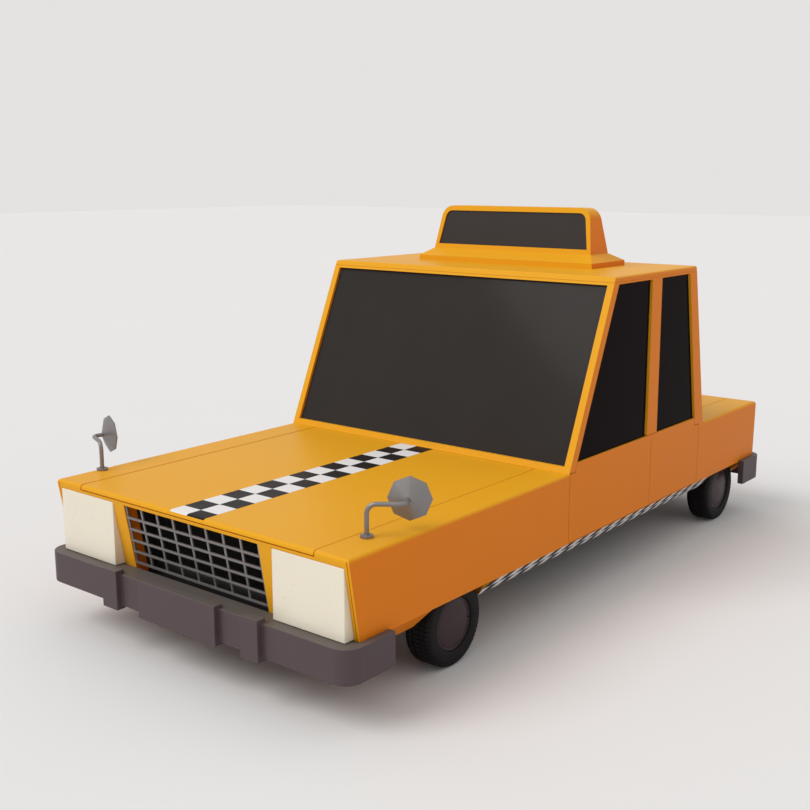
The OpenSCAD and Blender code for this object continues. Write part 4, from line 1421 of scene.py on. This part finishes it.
class CAB_OT_seats(PieceOperator, bpy.types.Operator):
    """Sew and stuff the front seats and the rear bench"""

    bl_idname = "cab.seats"
    bl_label = "Seats"

    def build(self, sizes):
        low, high = box_of("front_seats")
        self.seat("driver", "front_seats", (0.180, low.y, 0.420), (0.700, 0.500, 0.560), high.z, 0.060, sizes)
        for piece in ("cushion", "back"):
            self.mirror_image(f"driver_{piece}", f"front_passenger_{piece}", "front_seats")
        self.bases()
        low, high = box_of("rear_seat")
        self.seat("rear", "rear_seat", (low.x, low.y, 0.420), (high.x, 1.130, 0.560), high.z, 0.010, sizes)

    def seat(self, name, node, low, high, back_top, lean, sizes):
        """A cushion from low to high, and a back at its end that leans and reaches back_top."""
        edge = 0.05
        run = high[0] - low[0] - 2 * edge
        count = max(2, round(run / sizes.channel_pitch))
        step = run / count
        seams = [low[0] + edge + step * k for k in range(count + 1)]
        cushion = pad(name + "_cushion", low, high, 0, seams, (0, 0, 1), sizes)
        back_low = (low[0], high[1] - 0.110, high[2] - 0.010)
        back_high = (high[0], high[1] - 0.005, back_top)
        back = pad(name + "_back", back_low, back_high, lean, seams, (0, -1, 0.12), sizes)
        heights = (high[2] - 0.024, low[2] + 0.020)
        welts = [piping(cushion, ring_outline(low, high, z), 0.004) for z in heights]
        welts = joined(cushion.name + "_welts", {"seat_leather": welts}, 60)
        self.sewn(cushion, [welts, self.stitches(cushion, seams, low, high, False)], node)
        self.sewn(back, [self.stitches(back, seams, back_low, back_high, True)], node)

    def sewn(self, made, extras, node):
        """A pad and its welts and stitches as one padded piece."""
        self.stuffed(merged(made.name, [made, *extras]), node)

    def stuffed(self, made, node):
        settled(made, MIDDLE, [node])

    def stitches(self, made, seams, low, high, upright):
        """Two stitch lines beside each channel, up a back or along a cushion."""
        offset, lift, count = 0.009, 0.0004, 24
        paths = []
        for x in [seam + side * offset for seam in seams for side in (-1, 1)]:
            if upright:
                start, run, y = low[2] + 0.05, high[2] - low[2] - 0.10, (low[1] + high[1]) / 2
                points = [(x, y, start + run * k / count) for k in range(count + 1)]
                paths.append(surface_path(made, points, (0, 1, 0), lift))
            else:
                start, run = low[1] + 0.04, high[1] - low[1] - 0.08
                points = [(x, start + run * k / count, 0.5) for k in range(count + 1)]
                paths.append(surface_path(made, points, (0, 0, -1), lift))
        return stitched(made.name + "_stitches", [p for p in paths if len(p) > 1])

    def mirror_image(self, source, name, node):
        """The same pad on the other side."""
        mesh = bpy.data.objects[source].data.copy()
        whole = bmesh.new()
        whole.from_mesh(mesh)
        sided(whole, -1)
        whole.to_mesh(mesh)
        whole.free()
        self.stuffed(object_of(name, mesh), node)

    def bases(self):
        """Steel seat bases on their rails, and the rear bench's riser."""
        rails = [box_part((x, 0.09, 0.3115), (x + 0.03, 0.47, 0.330), 0.004) for x in (0.235, 0.625)]
        legs = [box_part((x, 0.11, 0.328), (x + 0.02, 0.45, 0.424), 0.005) for x in (0.240, 0.630)]
        lever = tube_part([(0.30, 0.07, 0.372), (0.58, 0.07, 0.372)], 0.007, 10)
        tray = box_part((0.22, 0.10, 0.400), (0.66, 0.46, 0.428), 0.008)
        riser = box_part((0.158, 0.755, 0.3115), (0.812, 1.092, 0.428), 0.012)
        kinds = {
            "machined": both_sides([*rails, *legs, lever]), "carpet_pile": both_sides([tray, riser]),
        }
        settled(joined("seat_bases", kinds), MIDDLE)


# ---- inside -----------------------------------------------------------------------------

HUB = Vector((0.420, -0.090, 0.830))
COLUMN_RAKE = 62
ON_COLUMN = Matrix.Translation(HUB) @ spun(-COLUMN_RAKE, "X")


class CAB_OT_dashboard(PieceOperator, bpy.types.Operator):
    """Build the dashboard with its dials, vents and fare meter"""

    bl_idname = "cab.dashboard"
    bl_label = "Dashboard"

    def build(self, sizes):
        self.shell()
        self.dials()
        self.vents()
        self.pedals()

    def shell(self):
        """The moulding with its binnacle, glove box, shelf and column, and the fare meter on top."""
        width = -box_of("dashboard")[0].x
        outline = [
            (-0.376, 0.562), (-0.376, 0.740), (-0.335, 0.742), (-0.335, 0.768), (-0.300, 0.774),
            (-0.215, 0.766), (-0.178, 0.745), (-0.167, 0.716), (-0.182, 0.640), (-0.204, 0.590),
            (-0.214, 0.562),
        ]
        binnacle = [
            (-0.300, 0.760), (-0.290, 0.815), (-0.265, 0.832), (-0.215, 0.836), (-0.190, 0.828),
            (-0.196, 0.815), (-0.240, 0.812), (-0.250, 0.800), (-0.240, 0.760),
        ]
        column = lathe_part(
            [(-0.175, 0), (-0.175, 0.034), (-0.150, 0.038), (-0.070, 0.034), (-0.040, 0.029), (-0.040, 0)],
            steps=32, axis="Z",
        )
        along = Vector((0, math.sin(math.radians(COLUMN_RAKE)), math.cos(math.radians(COLUMN_RAKE))))
        turned(column, Matrix.Translation(HUB) @ along.to_track_quat("Z", "Y").to_matrix().to_4x4())
        knob = [(-0.190, 0), (-0.190, 0.009), (-0.177, 0.008), (-0.175, 0.006), (-0.175, 0)]
        kinds = {
            "trim_mould": [
                prism_part(outline, "X", -width, width, 0.006, 2),
                prism_part(binnacle, "X", 0.270, 0.570, 0.006, 3),
                box_part((-0.700, -0.196, 0.600), (-0.300, -0.171, 0.700), 0.006),  # glove box
                box_part((-0.860, -0.215, 0.560), (0.860, -0.190, 0.575), 0.006),  # shelf
                box_part((-0.090, -0.250, 0.766), (0.110, -0.185, 0.836), 0.008),  # fare meter
                column,
            ],
            "dial_face": [box_part((-0.075, -0.1862, 0.790), (0.060, -0.1836, 0.824), 0.002)],
            "machined": [lathe_part(knob, (x, 0, 0.806), 20, "Y") for x in (0.075, 0.095)],
        }
        settled(joined("dashboard_shell", kinds, 32), MIDDLE, ["dashboard"])

    def dials(self):
        """Two dials with ticks and hands."""
        face_y, height = -0.240, 0.783
        profile = [
            (-0.012, 0), (-0.012, 0.033), (0.0, 0.0345), (0.004, 0.0345), (0.004, 0.0315), (-0.004, 0.031),
            (-0.004, 0),
        ]
        pieces = []
        for x in (0.350, 0.490):
            dial = lathe_part(profile, (x, face_y, height), 40, "Y")
            hand = box_part((-0.0012, face_y - 0.0028, -0.004), (0.0012, face_y - 0.0016, 0.026), 0.0004, 1)
            turned(hand, Matrix.Translation((x, 0, height)) @ spun(-120, "Y"))
            pieces.append(joined("dial", {"dial_face": [dial], "dial_mark": [hand]}, 30))
            tick = box_part((-0.0036, -0.0006, 0.0240), (-0.0028, 0.0006, 0.0290))
            ticks = ring("dial_ticks", tick, 24, (0, 0, 0), "dial_mark")
            ticks.data.transform(Matrix.Translation((x, face_y, height)) @ spun(90, "Z"))
            pieces.append(ticks)
        settled(merged("instrument_dials", pieces), MIDDLE)

    def vents(self):
        """Slatted air vents at both ends and in the middle."""
        half, z0, z1, rim, slats, pitch = 0.060, 0.700, 0.744, 0.006, 6, 0.0066
        pieces = []
        for x in (-0.800, -0.200, 0.190, 0.800):
            border = box_part((x - half, -0.190, z0), (x + half, -0.168, z1), 0.004)
            pieces.append(joined("vent_border", {"trim_mould": [border]}))
            slat = box_part(
                (x - half + rim, -0.172, z0 + 0.0055), (x + half - rim, -0.162, z0 + 0.0070), 0.0005, 1
            )
            pieces.append(row("vent_slats", slat, slats, (0, 0, pitch), "core_black"))
        settled(merged("dashboard_vents", pieces), MIDDLE)

    def pedals(self):
        """Clutch, brake and throttle on their arms, and the gear lever on the tunnel."""
        feet, arms = [], []
        for x, width, height in ((0.300, 0.055, 0.050), (0.420, 0.055, 0.050), (0.545, 0.042, 0.100)):
            x0, x1 = x - width / 2, x + width / 2
            feet.append(box_part((x0, -0.292, 0.395), (x1, -0.280, 0.395 + height), 0.004))
            arms.append(tube_part([(x, -0.290, 0.420), (x, -0.345, 0.500), (x, -0.350, 0.575)], 0.008, 8))
        lever = tube_part(
            [(0, 0.060, 0.395), (0, 0.030, 0.480), (0, 0.020, 0.560), (0, 0.022, 0.600)], 0.006, 10
        )
        knob = lathe_part(
            [(-0.024, 0), (-0.022, 0.010), (-0.010, 0.019), (0.004, 0.021), (0.016, 0.016), (0.022, 0.007),
             (0.023, 0)], (0, 0.022, 0.610), 24, "Z",
        )
        gaiter = lathe_part(
            [(0.0, 0.060), (0.010, 0.054), (0.018, 0.046), (0.024, 0.048), (0.036, 0.034), (0.044, 0.036),
             (0.058, 0.020), (0.070, 0.012), (0.074, 0)], (0, 0.056, 0.4015), 28, "Z",
        )
        kinds = {"machined": [*arms, lever], "trim_mould": [*feet, knob, gaiter]}
        settled(joined("pedals_and_lever", kinds), MIDDLE)


class CAB_OT_steering_wheel(PieceOperator, bpy.types.Operator):
    """Build the steering wheel"""

    bl_idname = "cab.steering_wheel"
    bl_label = "Steering Wheel"

    def build(self, sizes):
        boss = lathe_part(
            [(-0.028, 0), (-0.028, 0.040), (-0.020, 0.045), (0.000, 0.045), (0.006, 0.040), (0.010, 0.026),
             (0.011, 0)], steps=40, axis="Z",
        )
        cap = lathe_part([(0.0085, 0.030), (0.0125, 0.028), (0.0135, 0.020), (0.0138, 0)], steps=40, axis="Z")
        outline = [
            (0.034, -0.020), (0.100, -0.0125), (0.170, -0.0115),
            (0.170, 0.0115), (0.100, 0.0125), (0.034, 0.020),
        ]
        spokes = [
            turned(prism_part(outline, "Z", -0.0115, -0.0030, 0.0025, 2), spun(angle, "Z"))
            for angle in (90, 210, 330)
        ]
        kinds = {"trim_mould": [self.rim(), boss], "satin_metal": [*spokes, cap]}
        kinds = {surface: [turned(part, ON_COLUMN) for part in parts] for surface, parts in kinds.items()}
        made = joined("steering_wheel_rim", kinds, 40)
        settled(made, body_of("steering_wheel"), ["steering_wheel"])

    def rim(self):
        """The grip, which swells a little between the fingers."""
        radius, grip, fingers, swell, steps = 0.178, 0.0125, 36, 0.05, 144
        circle = arc((0, 0), radius, 0, 360, steps)[:-1]
        rim = tube_part([(x, y, 0) for x, y in circle], grip, 14, closed=True)
        for vertex in rim.verts:
            angle = math.atan2(vertex.co.y, vertex.co.x)
            heart = Vector((radius * math.cos(angle), radius * math.sin(angle), 0))
            vertex.co = heart + (vertex.co - heart) * (1 + swell * math.cos(fingers * angle))
        return rim


class CAB_OT_linings(PieceOperator, bpy.types.Operator):
    """Line the roof, the floor and the doors"""

    bl_idname = "cab.linings"
    bl_label = "Linings"

    def build(self, sizes):
        self.roof()
        self.floor()
        for end, y0, y1 in (("front", -0.330, 0.480), ("rear", 0.600, 1.105)):
            for name, side in SIDES.items():
                self.door(end, name, side, y0, y1)

    def roof(self):
        """The headlining, the cabin lamp and the inside mirror."""
        low, high = box_of("roof_panel")
        sheet = box_part(
            (low.x + 0.045, low.y + 0.075, low.z - 0.010),
            (high.x - 0.045, high.y - 0.070, low.z + 0.001), 0.004,
        )
        lamp = box_part((-0.050, 0.36, low.z - 0.022), (0.050, 0.44, low.z - 0.008), 0.006)
        mirror = box_part((-0.110, 0.070, 1.585), (0.110, 0.088, 1.645), 0.008)
        stalk = tube_part([(0, 0.105, low.z - 0.006), (0, 0.094, 1.66), (0, 0.084, 1.63)], 0.005, 8)
        kinds = {"lining_cloth": [sheet], "head_lens": [lamp], "trim_mould": [mirror, stalk]}
        settled(joined("headlining", kinds), MIDDLE)

    def floor(self):
        """The carpet over the floor and the tunnel, and four rubber mats with ridges."""
        half, front, back, pile, lift = 0.857, -0.374, 1.228, 0.006, 0.0004
        floor_z, tunnel_z, tunnel, taper = 0.305, 0.400, 0.155, 0.012
        bed, crest = floor_z + lift, tunnel_z + lift
        under = [(tunnel, crest), (tunnel, bed), (half, bed)]
        over = [(half, bed + pile), (tunnel + pile, bed + pile), (tunnel + pile - taper, crest + pile)]
        outline = mirrored(under) + under + over + mirrored(over)
        cover = prism_part(outline, "Y", front, back)
        places, top = ((-0.30, 0.08), (0.52, 0.74)), floor_z + pile
        mats = [box_part((0.20, y0, top), (0.80, y1, top + 0.008), 0.003, 2) for y0, y1 in places]
        made = joined("carpet", {"carpet_pile": [cover], "tyre_rubber": both_sides(mats)})
        settled(made, MIDDLE)
        ridges = []
        for side in SIDES.values():
            for y0, y1 in places:
                ridge = box_part((0.225, y0 + 0.02, top + 0.007), (0.229, y1 - 0.02, top + 0.0105), 0.001, 1)
                ridges.append(row("mat_ridges", sided(ridge, side), 32, (side * 0.0175, 0, 0), "tyre_rubber"))
        settled(merged("floor_mat_ridges", ridges), MIDDLE)

    def door(self, end, name, side, y0, y1):
        """A door's card with its ribs, arm rest, pull, pocket and window crank."""
        node = f"{end}_door_{name}"
        low, high = box_of(node)
        inner, z0, z1 = 0.950, low.z + 0.035, high.z - 0.012
        skin = inner - 0.004
        rest_y0, rest_y1 = y0 + 0.14, y1 - 0.10
        crank_y, crank_z, grip_y, grip_z = y0 + 0.22, 0.575, y0 + 0.31, 0.545
        card = box_part((inner - 0.006, y0, z0), (inner + 0.0004, y1, z1), 0.004)
        pocket = box_part((inner - 0.030, y0 + 0.08, z0 + 0.03), (skin, y1 - 0.12, z0 + 0.13), 0.008)
        grip = (inner - 0.028, grip_y, grip_z)
        knob = lathe_part([(0, 0), (0, 0.010), (-0.022, 0.009), (-0.024, 0)], grip, 16)
        rest = box_part((inner - 0.062, rest_y0, 0.610), (skin, rest_y1, 0.662), 0.016, 4)
        pull = tube_part([
            (skin, rest_y1 - 0.02, 0.700), (inner - 0.034, rest_y1 - 0.03, 0.704),
            (inner - 0.036, rest_y1 - 0.13, 0.704), (skin, rest_y1 - 0.14, 0.700),
        ], 0.007, 10)
        boss = lathe_part(
            [(0, 0), (0, 0.022), (-0.014, 0.020), (-0.016, 0)], (inner - 0.005, crank_y, crank_z), 24
        )
        crank = tube_part(
            [(inner - 0.020, crank_y, crank_z), (inner - 0.026, y0 + 0.27, 0.560), grip], 0.005, 8
        )
        parts = {
            "trim_mould": [card, pocket, knob], "seat_leather": [rest], "satin_metal": [pull, boss, crank],
        }
        kinds = {surface: [sided(part, side) for part in few] for surface, few in parts.items()}
        made = joined(f"{end}_door_card_{name}", kinds)
        rib = box_part((inner - 0.0085, y0 + 0.03, 0.676), (inner - 0.005, y1 - 0.03, 0.682), 0.001, 1)
        ribs = row("lining_ribs", sided(rib, side), 8, (0, 0, 0.012), "trim_mould")
        settled(merged(f"{end}_door_lining_{name}", [made, ribs]), body_of(node))


# ---- machinery --------------------------------------------------------------------------


class CAB_OT_engine(PieceOperator, bpy.types.Operator):
    """Dress the engine block"""

    bl_idname = "cab.engine"
    bl_label = "Engine"

    def build(self, sizes):
        low, high = box_of("engine")
        self.block(low, high)
        details = [*self.ribs(low, high), *self.bolts(low, high), self.fan(low, high)]
        settled(merged("engine_details", details), MIDDLE)

    def block(self, low, high):
        """The block on its sump, with the cover, air cleaner, fan hub, hose and manifold."""
        cleaner = [
            (-0.050, 0), (-0.050, 0.125), (-0.042, 0.132), (-0.012, 0.132), (-0.006, 0.128),
            (0.0, 0.110), (0.0, 0),
        ]
        hub = [(0, 0), (0.0, 0.060), (-0.020, 0.055), (-0.030, 0.040), (-0.032, 0)]
        hose = [
            (0.12, low.y + 0.06, high.z - 0.09), (0.15, low.y - 0.03, high.z - 0.055),
            (0.20, low.y - 0.12, high.z - 0.05), (0.24, low.y - 0.185, high.z - 0.045),
        ]
        manifold = [
            (low.x + 0.035, low.y + 0.12, 0.54), (low.x + 0.012, low.y + 0.30, 0.50),
            (low.x + 0.010, low.y + 0.55, 0.44), (low.x + 0.020, low.y + 0.66, 0.36),
        ]
        block = box_part((low.x + 0.02, low.y, low.z + 0.06), (high.x - 0.02, high.y, high.z - 0.11), 0.012)
        sump = box_part(
            (low.x + 0.06, low.y + 0.05, low.z), (high.x - 0.06, high.y - 0.20, low.z + 0.12), 0.03
        )
        cover = box_part(
            (-0.11, low.y + 0.03, high.z - 0.125), (0.11, high.y - 0.06, high.z - 0.035), 0.02, 4
        )
        kinds = {
            "cast_iron": [block, sump],
            "machined": [cover, lathe_part(hub, (0, low.y, high.z - 0.19), 40, "Y")],
            "core_black": [lathe_part(cleaner, (0, low.y + 0.34, high.z), 56, "Z")],
            "tyre_rubber": [tube_part(hose, 0.020, 14)],
            "pipe_steel": [tube_part(manifold, 0.026, 14)],
        }
        settled(joined("engine_block", kinds, 32), MIDDLE, ["engine"])

    def ribs(self, low, high):
        """Upright ribs down both sides of the block."""
        rib = box_part(
            (low.x + 0.014, low.y + 0.08, low.z + 0.16),
            (low.x + 0.024, low.y + 0.092, high.z - 0.13), 0.002, 1,
        )
        return [row("block_ribs", part, 9, (0, 0.072, 0), "cast_iron") for part in both_sides([rib])]

    def bolts(self, low, high):
        """Two rows of bolt heads on the cover."""
        head = lathe_part([(0, 0.008), (0.006, 0.008), (0.007, 0.006), (0.007, 0)], steps=6, axis="Z")
        turned(head, Matrix.Translation((0.09, low.y + 0.07, high.z - 0.0355)))
        return [row("cover_bolts", part, 6, (0, 0.122, 0), "machined") for part in both_sides([head])]

    def fan(self, low, high):
        """Six pitched blades in front of the block."""
        outline = [(0.045, -0.020), (0.150, -0.034), (0.156, 0.020), (0.048, 0.016)]
        blade = prism_part(outline, "Z", -0.0015, 0.0015, 0.0008, 1)
        turned(blade, spun(90, "Y") @ spun(28, "X"))
        fan = ring("fan_blades", blade, 6, (0, 0, 0), "machined")
        fan.data.transform(Matrix.Translation((0, low.y - 0.022, high.z - 0.19)) @ spun(90, "Z"))
        return fan


class CAB_OT_underside(PieceOperator, bpy.types.Operator):
    """Finish the floor, the axles, the knuckles and the exhaust"""

    bl_idname = "cab.underside"
    bl_label = "Underside"

    def build(self, sizes):
        softened("floor_pan", "chassis_paint", 0.003)
        softened("front_axle", "chassis_paint", 0.003)
        softened("rear_axle", "chassis_paint", 0.002)
        softened("exhaust", "pipe_steel", 0.001)
        for name in SIDES:
            softened("knuckle_" + name, "cast_iron", 0.002)


class CAB_OT_rear_plate(PieceOperator, bpy.types.Operator):
    """Fix a blank number plate and its lamp to the tail"""

    bl_idname = "cab.rear_plate"
    bl_label = "Rear Plate"

    def build(self, sizes):
        tail = box_of("tail_panel")[1].y
        z0, z1, half, rim = 0.520, 0.632, 0.260, 0.004
        plate = box_part((-half, tail - 0.002, z0), (half, tail + 0.0035, z1), 0.0015, 2)
        raised = box_part(
            (-half + rim, tail + 0.003, z0 + rim), (half - rim, tail + 0.0044, z1 - rim), 0.0006, 1
        )
        lamp = box_part((-0.055, tail - 0.003, z1 + 0.010), (0.055, tail + 0.022, z1 + 0.028), 0.006)
        handle = box_part((-0.10, tail - 0.004, 0.700), (0.10, tail + 0.012, 0.718), 0.005)
        kinds = {"plate_sheet": [plate, raised], "satin_metal": [lamp, handle]}
        screw = lathe_part(
            [(0.0030, 0.0055), (0.0050, 0.0050), (0.0060, 0.0028), (0.0062, 0)], (-0.19, tail, 0.576), 14, "Y"
        )
        screws = row("plate_screws", screw, 2, (0.38, 0, 0), "machined")
        settled(merged("rear_number_plate", [joined("rear_plate", kinds), screws]), MIDDLE)


# ---- stage ------------------------------------------------------------------------------


class CAB_OT_stage(bpy.types.Operator):
    """Set the floor, the light and the camera"""

    bl_idname = "cab.stage"
    bl_label = "Stage"

    def execute(self, context):
        stage = context.scene.cab_stage
        context.scene.view_settings.view_transform = "Standard"
        self.floor(stage)
        self.world(context.scene, stage)
        self.sun("key", stage.key, (-0.32, -0.60, 0.73), 36)
        self.sun("top", stage.top, (0.30, 0.10, 1.00), 90)
        self.camera(context.scene, stage)
        return {"FINISHED"}

    def floor(self, stage):
        half = 60.0
        mesh = bpy.data.meshes.new("floor")
        mesh.from_pydata(flat_square(-half, half, -half, half, 0), [], [(0, 1, 2, 3)])
        floor = object_of("floor", mesh)
        material = bpy.data.materials.new("floor_paper")
        material.use_nodes = True
        tree = material.node_tree
        dress(
            tree,
            Base_Color=wandering(tree, noise(tree, 0.8, 3), stage.floor, 0.012, 0.012),
            Roughness=0.85,
            Specular_IOR_Level=0.1,
        )
        mesh.materials.append(material)

    def world(self, scene, stage):
        """Even light from all round, and a backdrop where a ray ends that the camera sees."""
        world = bpy.data.worlds.new("studio")
        scene.world = world
        world.use_nodes = True
        tree = world.node_tree
        lighting = tree.nodes["Background"]
        lighting.inputs["Color"].default_value = (1, 1, 1, 1)
        lighting.inputs["Strength"].default_value = stage.fill
        seen = add(tree, "ShaderNodeBackground", {"Color": stage.backdrop, "Strength": 1.0})
        path = add(tree, "ShaderNodeLightPath").outputs
        either = maths(tree, "MAXIMUM", path["Is Camera Ray"], path["Is Glossy Ray"])
        shown = maths(tree, "MAXIMUM", either, path["Is Transmission Ray"])
        mix = add(
            tree, "ShaderNodeMixShader",
            {"Fac": shown, "Shader": lighting.outputs[0], "Shader_001": seen.outputs[0]},
        )
        tree.links.new(mix.outputs[0], tree.nodes["World Output"].inputs["Surface"])

    def sun(self, name, strength, heading, spread):
        """A broad distant lamp, so that the whole floor is lit alike."""
        data = bpy.data.lights.new(name, "SUN")
        data.energy = strength
        data.angle = math.radians(spread)
        lamp = object_of(name, data)
        lamp.location = 6 * Vector(heading)
        lamp.rotation_euler = Vector(heading).to_track_quat("Z", "Y").to_euler()

    def camera(self, scene, stage):
        data = bpy.data.cameras.new("camera")
        data.lens = stage.lens
        data.sensor_width = 36
        camera = object_of("camera", data)
        camera.location = stage.camera_place
        camera.rotation_euler = stage.camera_turn
        scene.camera = camera


OPERATORS = (
    CAB_OT_stage, CAB_OT_panels, CAB_OT_lid_frames, CAB_OT_checker, CAB_OT_glass, CAB_OT_lamps,
    CAB_OT_grille, CAB_OT_bumpers, CAB_OT_mirrors, CAB_OT_roof_sign, CAB_OT_wheels, CAB_OT_seats,
    CAB_OT_dashboard, CAB_OT_steering_wheel, CAB_OT_linings, CAB_OT_engine, CAB_OT_underside,
    CAB_OT_rear_plate,
)


class CAB_PT_panel(bpy.types.Panel):
    """Lists the cab's pieces and settings"""

    bl_idname = "CAB_PT_panel"
    bl_label = "Taxi Cab"
    bl_space_type = "VIEW_3D"
    bl_region_type = "UI"
    bl_category = "Taxi Cab"

    def draw(self, context):
        for operator in OPERATORS:
            self.layout.operator(operator.bl_idname)
        for group in (context.scene.cab_finishes, context.scene.cab_sizes, context.scene.cab_stage):
            for name in group.bl_rna.properties.keys():
                if name not in ("rna_type", "name"):
                    self.layout.prop(group, name)


CLASSES = (CabFinishes, CabSizes, CabStage, *OPERATORS, CAB_PT_panel)


def register():
    for item in CLASSES:
        bpy.utils.register_class(item)
    bpy.types.Scene.cab_finishes = PointerProperty(type=CabFinishes)
    bpy.types.Scene.cab_sizes = PointerProperty(type=CabSizes)
    bpy.types.Scene.cab_stage = PointerProperty(type=CabStage)


def unregister():
    del bpy.types.Scene.cab_stage
    del bpy.types.Scene.cab_sizes
    del bpy.types.Scene.cab_finishes
    for item in reversed(CLASSES):
        bpy.utils.unregister_class(item)


def main():
    register()
    for operator in OPERATORS:
        getattr(bpy.ops.cab, operator.bl_idname.split(".")[1])()


if __name__ == "__main__":
    main()
